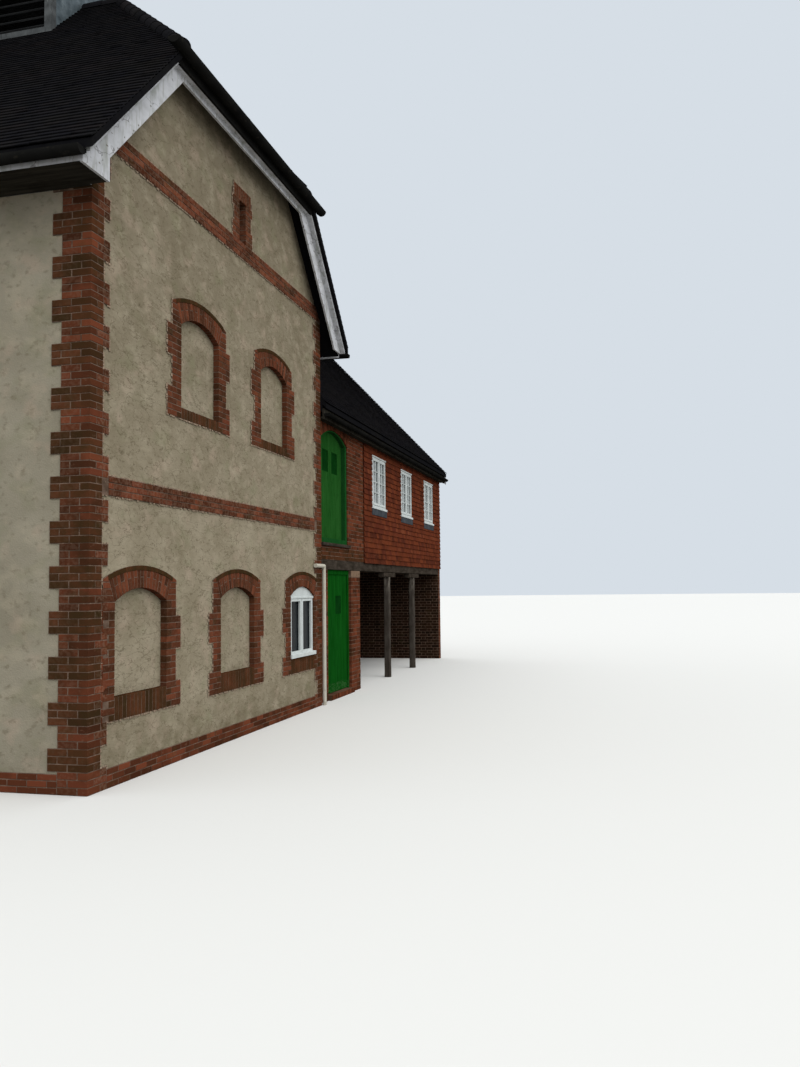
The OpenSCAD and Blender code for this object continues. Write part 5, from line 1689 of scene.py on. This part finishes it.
@dataclass
class Windows(Part):
    """Casements, glazing bars, sills and lead aprons of the wing's windows and the kiln's glazed one.

    frame is the width of the frames' members, front how far the wing's frames stand behind the kiln's
    face, rail and bar the widths of a casement's rails and of its glazing bars.
    """

    rng: np.random.Generator = field(default_factory=lambda: np.random.default_rng(3))
    kiln: Box = (5.53, 0.9, 6.63, 1.88)
    frame: float = 0.06
    front: float = 0.07
    rail: float = 0.038
    bar: float = 0.016

    def sash(self, box: Box, y: float, columns: int, rows: int) -> list[Blocks]:
        """One casement with a bottom rail a third higher, and its glazing bars a little behind its front.

        Args:
            box: What it fills.
            y: Its front plane.
            columns: Panes side by side.
            rows: Panes one above the other.

        Returns:
            Its members.
        """
        x0, z0, x1, z1 = box
        rail, foot, half = self.rail, self.rail * 1.3, self.bar / 2
        found = [bars(rails(box, rail, foot), y, y + 0.035)]
        inner = []
        for x in x0 + rail + (x1 - x0 - 2 * rail) * np.arange(1, columns) / columns:
            inner.append((x - half, z0 + rail, x + half, z1 - rail))
        for z in z0 + foot + (z1 - z0 - rail - foot) * np.arange(1, rows) / rows:
            inner.append((x0 + rail, z - half, x1 - rail, z + half))
        if inner:
            found.append(bars(inner, y + 0.006, y + 0.034))
        return found

    def casements(self, box: Box, lap: float, y: float, columns: int = 1, rows: int = 1) -> list[Blocks]:
        """Two casements side by side in a window, each lapping the frame round it.

        Args:
            box: The window.
            lap: How far they lap its frame.
            y: Their front plane.
            columns: Panes side by side.
            rows: Panes one above the other.

        Returns:
            Their members.
        """
        x0, z0, x1, z1 = box
        light = (x1 - x0 - 3 * self.frame) / 2
        found = []
        for left in (x0 + self.frame - lap, x0 + 2 * self.frame + light - lap):
            place = (left, z0 + self.frame - lap, left + light + 2 * lap, z1 - self.frame + lap)
            found += self.sash(place, y, columns, rows)
        return found

    def wing_window(self, x: float) -> list[Blocks]:
        """Two casements with small panes, a sill and a drip over them, for the front."""
        right, front = x + self.plan.window_w, self.front
        low, high = self.plan.window_z
        return [*self.casements((x, low, right, high), 0.012, front - 0.012, columns=2, rows=4),
                bars([(x - 0.03, low - 0.035, right + 0.03, low + 0.012)], front - 0.035, front + 0.06),
                bars([(x - 0.01, high - 0.01, right + 0.01, high + 0.02)], front - 0.02, front + 0.05)]

    def kiln_window(self) -> list[Blocks]:
        """Two plain casements, a bead under the head and a deep sill in the kiln's opening."""
        x0, z0, x1, z1 = self.kiln
        return [*self.casements(self.kiln, 0.008, 0.018),
                bars([(x0 + 0.004, z1 - 0.045, x1 - 0.004, z1 - 0.01)], 0.012, 0.05),
                bars([(x0 - 0.01, z0, x1 + 0.01, z0 + 0.06)], -0.03, 0.06)]

    def build(self) -> None:
        """Makes the window pieces on the front and turns copies to the back."""
        plan = self.plan
        low = plan.window_z[0]
        wing = [block for x in plan.window_x for block in self.wing_window(x)]
        front = Blocks.joined(wing + self.kiln_window())
        aprons = bars([(x - 0.04, low - 0.17, x + plan.window_w + 0.04, low - 0.03) for x in plan.window_x],
                      plan.wing_in - 0.042, plan.wing_in)
        for name, blocks, finish, slot in (("casements_and_sills", front, WINDOW_PAINT, "white_joinery"),
                                           ("lead_aprons", aprons, DARK_LEAD, "lead")):
            both = Blocks.joined([blocks, blocks.mirrored(plan.depth, self.rng)])
            self.maker.block_mesh(name, both, finish, slot, 0.004)


def marks(stops: Sequence[float], counts: Sequence[int]) -> Array:
    """Marks from stop to stop, with as many even steps between each two as the counts say."""
    parts = [np.linspace(a, b, count + 1)[1:] for a, b, count in zip(stops[:-1], stops[1:], counts)]
    return np.concatenate([stops[:1], *parts])


@dataclass
class Doors(Part):
    """Boards and panels of the entrance door and the loading doors.

    leaf is the plank door, and loading the pair of loading doors up to their springing. gap is half the
    space between two boards.
    """

    leaf: Box = (7.668, 0.1, 8.952, 2.262)
    leaf_y: float = 0.162
    leaf_panel: Box = (8.255, 1.517, 8.59, 1.852)
    weatherboard: float = 0.15
    loading: Box = (7.38, 2.9, 8.74, 4.7)
    loading_rise: float = 0.175
    loading_in: float = 0.1003
    panel_from_middle: float = 0.265
    panel_width: float = 0.335
    panel_z: tuple[float, float] = (4.13, 4.53)
    panel_rail: float = 0.028
    gap: float = 0.0015

    def boards(self, edges: Array, low: float, tops: Array, panel: Box, y0: float, y1: float) -> Blocks:
        """Upright boards between edges, cut round a panel.

        Args:
            edges: Where the boards meet.
            low: Their lower ends.
            tops: Height of the leaf's top at each edge.
            panel: What stays clear.
            y0: Their front plane.
            y1: Their back plane.

        Returns:
            The boards.
        """
        quads = []
        for edge, next_edge, top, next_top in zip(edges[:-1], edges[1:], tops[:-1], tops[1:]):
            left, right = edge + self.gap, next_edge - self.gap
            spans = [(low, top, next_top)]
            if left < panel[2] and right > panel[0]:
                spans = [(low, panel[1], panel[1]), (panel[3], top, next_top)]
            quads += [[[left, foot], [right, foot], [right, last], [left, first]] for foot, first, last in spans]
        return upright(np.array(quads), y0, y1)

    def panel(self, box: Box, y: float) -> list[Blocks]:
        """A closed panel with a bead round it, set back from the boards."""
        x0, z0, x1, z1 = box
        rail = self.panel_rail
        return [bars(rails(box, rail, rail), y - 0.005, y + 0.004),
                bars([(x0 + rail, z0 + rail, x1 - rail, z1 - rail)], y - 0.001, y + 0.004)]

    def entrance(self) -> None:
        """Boards, panel and worn weatherboard of the plank door."""
        (x0, z0, x1, z1), y = self.leaf, self.leaf_y
        low = z0 + self.weatherboard
        edges = marks((x0, self.leaf_panel[0], self.leaf_panel[2], x1), (5, 3, 3))
        boards = self.boards(edges, low, np.full(len(edges), z1), self.leaf_panel, y - 0.003, y + 0.004)
        panel = Blocks.joined(self.panel(self.leaf_panel, y + 0.008))
        weather = bars([(x0 + 0.029, z0 + 0.002, x1 - 0.029, low)], y - 0.0105, y - 0.004)
        self.maker.block_mesh("door_boards", boards, GREEN_PAINT, "green_joinery", 0.0025, DOOR)
        self.maker.block_mesh("door_panel", panel, DARK_GREEN_PAINT, "green_joinery", 0.002, DOOR)
        self.maker.block_mesh("door_weatherboard", weather, GREEN_PAINT, "green_joinery", 0.0025, DOOR)

    def loading_doors(self) -> None:
        """Boards and panels of the two loading doors, whose tops follow the arch over them."""
        x0, z0, x1, spring = self.loading
        y = self.plan.wing_in + self.loading_in
        middle = (x0 + x1) / 2
        radius = arc_radius(x1 - x0, self.loading_rise)
        leaves, panels = [], []
        for side in (-1, 1):
            centre = middle + side * self.panel_from_middle
            left, right = centre - self.panel_width / 2, centre + self.panel_width / 2
            panel = (left, self.panel_z[0], right, self.panel_z[1])
            if side < 0:
                edges = marks((x0, left, right, middle - 0.003), (2, 3, 1))
            else:
                edges = marks((middle + 0.003, left, right, x1), (1, 3, 2))
            tops = spring + self.loading_rise - radius + np.sqrt(radius ** 2 - (edges - middle) ** 2) - 0.004
            leaves.append(self.boards(edges, z0, tops, panel, y - 0.004, y + 0.004))
            panels += self.panel(panel, y + 0.006)
        self.maker.block_mesh("loading_door_boards", Blocks.joined(leaves), FADED_GREEN_PAINT, "green_joinery", 0.003)
        self.maker.block_mesh("loading_door_panels", Blocks.joined(panels), DARK_GREEN_PAINT, "green_joinery", 0.002)

    def build(self) -> None:
        """Makes both doors' pieces."""
        self.entrance()
        self.loading_doors()


@dataclass
class Timbers(Part):
    """Hewn oak posts, bolsters and beams of the undercroft, in place of their straight solids.

    Each post carries a bolster that reaches bolster_reach to both sides under the front or the spine beam.
    """

    post: float = 0.14
    posts: tuple[float, float] = (11.91, 14.29)
    bolster_reach: float = 0.49
    bolster_h: float = 0.1
    beam: tuple[float, float] = (0.3, 0.18)

    def timber(self, start: Triple, end: Triple, across: tuple[float, float], seed: float, wane: float = 0.02,
               bend: float = 0.006) -> tuple[Array, Array]:
        """One squared timber: a square section with cut corners, carried from start to end.

        Each point moves by two slow waves, away from the timber's middle or towards it, so that edges
        wander as hewn ones do.

        Args:
            start: Middle of one end.
            end: Middle of the other end.
            across: Width and depth of the section.
            seed: Sets the waves apart.
            wane: How far the corners are cut.
            bend: How far the surface wanders.

        Returns:
            Points and faces.
        """
        start, end = np.array(start), np.array(end)
        length = np.linalg.norm(end - start)
        way = (end - start) / length
        side = np.array([0.0, 1.0, 0.0]) if abs(way[0]) > 0.5 else np.array([1.0, 0.0, 0.0])
        other = np.cross(way, side)
        half_w, half_d = across[0] / 2, across[1] / 2
        section = []
        for sx, sy in ((1, 1), (-1, 1), (-1, -1), (1, -1)):
            first = np.array([sx * half_w, sy * (half_d - wane)])
            last = np.array([sx * (half_w - wane), sy * half_d])
            bulge = (first + last) / 2 + np.array([sx, sy]) * wane * 0.18
            section += [first, bulge, last] if sx * sy > 0 else [last, bulge, first]
        section = np.array(section)
        ring, count = len(section), max(6, round(length / 0.12))
        centre = start + np.linspace(0.0, length, count + 1)[:, None, None] * way
        grid = centre + section[None, :, :1] * side + section[None, :, 1:] * other
        away = grid - centre
        move = bend * wave(grid, 0.9, seed)[..., None] + bend * 0.5 * wave(grid, 0.23, seed + 2)[..., None]
        grid = grid + away / np.linalg.norm(away, axis=-1, keepdims=True) * (move - bend)
        caps = [[base + i - 1, base + i, base + ring - 1 - i, base + ring - i][::order]
                for base, order in ((0, -1), (count * ring, 1)) for i in range(1, ring // 2)]
        return grid.reshape(-1, 3), np.concatenate([ring_faces(count + 1, ring), caps])

    def build(self) -> None:
        """Makes the posts, their bolsters and the beams."""
        plan = self.plan
        row_y = (plan.wing_in + self.post / 2, plan.depth / 2)
        posts, bolsters = [], []
        for i, x in enumerate(self.posts):
            middle = x + self.post / 2
            for j, y in enumerate(row_y):
                z = plan.beam - self.bolster_h / 2
                posts.append(self.timber((middle, y, 0.0), (middle, y, plan.beam - self.bolster_h),
                                         (self.post, self.post), 1.3 * i + 2.1 * j))
                bolsters.append(self.timber((middle - self.bolster_reach, y, z), (middle + self.bolster_reach, y, z),
                                            (self.post, self.bolster_h), 5.0 + i + j, 0.012, 0.003))
        z, end = plan.beam + self.beam[1] / 2, plan.wing_end - plan.wall
        beams = [self.timber((x, y, z), (end, y, z), self.beam, seed, 0.015, 0.004) for x, y, seed in (
            (plan.length + 0.002, plan.wing_in + self.beam[0] / 2, 7.7), (plan.side, plan.depth / 2, 9.1))]
        self.maker.mesh("oak_posts", *merged(posts), GREY_OAK, "grey_timber", replaces=("undercroft_posts",))
        self.maker.mesh("oak_beams", *merged(bolsters + beams), GREY_OAK_BEAM, "grey_timber",
                        replaces=("floor_beams",))


@dataclass
class Trim(Part):
    """Brown boards along the underside of the kiln's left eave, their near black partly painted shade.

    edges are the outer and inner edges of three boards that run past the gables as far as the
    bargeboards, and strip those of one beside the wall.
    """

    edges: tuple[float, float] = (-0.499, -0.031)
    strip: tuple[float, float] = (-0.0285, -0.006)
    z: tuple[float, float] = (6.092, 6.0995)
    past: float = 0.188
    gap: float = 0.0015

    def build(self) -> None:
        """Makes the boards."""
        depth = self.plan.depth
        (low, high), board_edges = self.z, np.linspace(*self.edges, 4)
        boards = bars([(left + self.gap, low, right - self.gap, high)
                       for left, right in zip(board_edges[:-1], board_edges[1:])], -self.past, depth + self.past)
        strip = bars([(self.strip[0], low, self.strip[1], high)], 0.003, depth - 0.003)
        # The boards' dark finish is partly painted shade under the eave.
        self.maker.block_mesh("soffit_boards", Blocks.joined([boards, strip]), SHADED_SOFFIT_BOARD, "white_joinery", 0.002)


# ---------------------------------------------------------------- the frame's own solids


NODE_FINISHES: dict[str, Finish] = {node: finish for finish, nodes in (
    (LIME_MORTAR, "kiln_front_wall kiln_back_wall kiln_left_wall kiln_right_wall kiln_front_dressings "
                  "kiln_back_dressings entrance_piers entrance_upper_wall entrance_side_wall rear_wall end_wall"),
    (ROUGHCAST, "kiln_front_render kiln_back_render"),
    (SMOOTH_RENDER, "kiln_side_render"),
    (ROOF_TILE, "kiln_roof_left kiln_roof_right kiln_roof_hips ventilator_roof wing_roof_front wing_roof_back "
                "ridge_tiles"),
    (HUNG_TILE, "front_upper_wall rear_upper_wall end_gable"),
    (WINDOW_PAINT, "kiln_window_frames wing_window_frames"),
    (WHITE_PAINT, "bargeboards kiln_eaves"),
    (SOOTY_PAINT, "ventilator_frame"),
    (BLACK_IRON, "gutters"),
    # The wing's eaves take the boards darkened as painted shade.
    (SHADED_SOFFIT_BOARD, "wing_eaves"),
    (LEAD, "ventilator_ends ventilator_flashing"),
    (LOUVRE, "ventilator_louvres"),
    (SAWN_PINE, "kiln_floors upper_floor"),
    (PAVING, "entrance_floor"),
    (GREEN_PAINT, "door_frame plank_door loading_doors"),
    (CHALKED_GREEN_PAINT, "loading_door_frame"),
    (GREY_OAK_BEAM, "floor_beams"),
    (GREY_OAK, "undercroft_posts"),
    (WINDOW_GLASS, "window_glass"),
    (PLASTIC_PIPE, "corner_pipe"),
) for node in nodes.split()}


def dress_frame(frame: dict, maker: Maker) -> None:
    """Gives every solid of the frame its own finish."""
    for name, node in frame["nodes"].items():
        material = maker.material(NODE_FINISHES[name])
        for slot in node.material_slots:
            slot.material = material


# ---------------------------------------------------------------- studio


@dataclass
class Studio:
    """Pale floor, soft light and the camera at the photograph's place.

    Angles are in degrees. sky is what the camera and reflections see, and glow is what lights the
    building. floor_seen is the floor's colour to the camera, and floor_lit its colour to everything else,
    so that it doesn't light the eaves. floor_z keeps the floor clear of the walls' feet.
    """

    plan: Plan
    eye: Triple = (-8.06, -5.2, 2.0)
    heading: float = 14.13
    tilt: float = 3.34
    roll: float = 0.66
    lens: float = 31.04
    view_end: float = 400.0
    sky: tuple[str, float] = ("#d6dee6", 1.0)
    glow: tuple[str, float] = ("#f4f7fa", 1.1)
    sun_energy: float = 2.0
    sun_angle: float = 70.0
    sun_colour: Triple = (1.0, 0.98, 0.95)
    sun_turn: Triple = (38.0, -24.0, -8.0)
    floor_seen: str = "#d3d3d0"
    floor_lit: str = "#8c8984"
    floor_radii: tuple[float, ...] = (0.0, 6.0, 20.0, 60.0, 180.0)
    floor_sides: int = 96
    floor_z: float = -0.001

    def camera(self) -> None:
        """Sets the camera from its heading, tilt and roll.

        Its way forward is (cos h cos t, sin h cos t, sin t), its way right is (sin h, -cos h, 0), and both
        right and down are turned by the roll about the way forward.
        """
        heading, tilt, roll = (math.radians(angle) for angle in (self.heading, self.tilt, self.roll))
        ahead = np.array([math.cos(heading) * math.cos(tilt), math.sin(heading) * math.cos(tilt), math.sin(tilt)])
        level = np.array([math.sin(heading), -math.cos(heading), 0.0])
        down = np.cross(ahead, level)
        right = math.cos(roll) * level + math.sin(roll) * down
        up = math.sin(roll) * level - math.cos(roll) * down
        place = np.array(self.eye) - self.plan.origin
        data = bpy.data.cameras.new("photo_camera")
        data.lens = self.lens
        data.clip_end = self.view_end
        camera = bpy.data.objects.new("photo_camera", data)
        camera.matrix_world = Matrix([*np.stack([right, up, -ahead, place], axis=1).tolist(), [0, 0, 0, 1]])
        bpy.context.scene.collection.objects.link(camera)
        bpy.context.scene.camera = camera

    def light(self) -> None:
        """An even overcast sky, plain to the camera, and one broad soft sun from the front left."""
        world = bpy.data.worlds.new("overcast_sky")
        world.use_nodes = True
        tree = world.node_tree
        tree.nodes.clear()
        glow, seen = (add_node(tree, "ShaderNodeBackground", {"Color": linear(colour), "Strength": strength})
                      for colour, strength in (self.glow, self.sky))
        path = add_node(tree, "ShaderNodeLightPath").outputs
        plain = path["Is Camera Ray"]
        for other in ("Is Glossy Ray", "Is Transmission Ray"):
            plain = add_node(tree, "ShaderNodeMath", {0: plain, 1: path[other]}, operation="MAXIMUM").outputs[0]
        mixed = add_node(tree, "ShaderNodeMixShader", {0: plain, 1: glow.outputs[0], 2: seen.outputs[0]})
        add_node(tree, "ShaderNodeOutputWorld", {0: mixed.outputs[0]})
        bpy.context.scene.world = world
        data = bpy.data.lights.new("soft_sun", "SUN")
        data.energy = self.sun_energy
        data.angle = math.radians(self.sun_angle)
        data.color = self.sun_colour
        sun = bpy.data.objects.new("soft_sun", data)
        sun.rotation_euler = [math.radians(angle) for angle in self.sun_turn]
        bpy.context.scene.collection.objects.link(sun)

    def floor(self) -> None:
        """A plain pale ground disc of rings."""
        turn = np.linspace(0, 2 * math.pi, self.floor_sides, endpoint=False)
        radii = np.array(self.floor_radii)
        points = np.stack([np.outer(radii, np.cos(turn)), np.outer(radii, np.sin(turn)),
                           np.full((len(radii), len(turn)), self.floor_z)], axis=-1).reshape(-1, 3)
        faces = ring_faces(len(radii), len(turn))[:, [0, 3, 2, 1]]
        data = bpy.data.meshes.new("studio_floor")
        data.from_pydata(points.tolist(), [], faces.tolist())
        data.update()
        material = bpy.data.materials.new("studio_floor")
        material.use_nodes = True
        tree = material.node_tree
        shader = tree.nodes["Principled BSDF"]
        path = add_node(tree, "ShaderNodeLightPath")
        colour = add_node(tree, "ShaderNodeMix", {
            0: path.outputs["Is Camera Ray"], 6: linear(self.floor_lit), 7: linear(self.floor_seen),
        }, data_type="RGBA")
        tree.links.new(colour.outputs[2], shader.inputs["Base Color"])
        shader.inputs["Roughness"].default_value = 0.9
        data.materials.append(material)
        floor = bpy.data.objects.new("studio_floor", data)
        bpy.context.scene.collection.objects.link(floor)

    def build(self) -> None:
        """Sets up camera, light and floor."""
        self.camera()
        self.light()
        self.floor()
        bpy.context.scene.view_settings.view_transform = "Standard"


def main() -> None:
    """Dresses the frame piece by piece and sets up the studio."""
    logging.basicConfig(level=logging.INFO, format="%(name)s: %(message)s")
    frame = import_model()
    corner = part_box("kiln_front_wall")[0]
    plan = Plan(np.array([-corner[0], -corner[1], 0.0]))
    maker = Maker(plan)
    dress_frame(frame, maker)
    for part in (KilnBrickwork(maker), WingBrickwork(maker), Roofs(maker), HungTiles(maker), Windows(maker),
                 Doors(maker), Timbers(maker), Trim(maker)):
        part.build()
        LOG.info("%s done", type(part).__name__)
    Studio(plan).build()


if __name__ == "__main__":
    main()
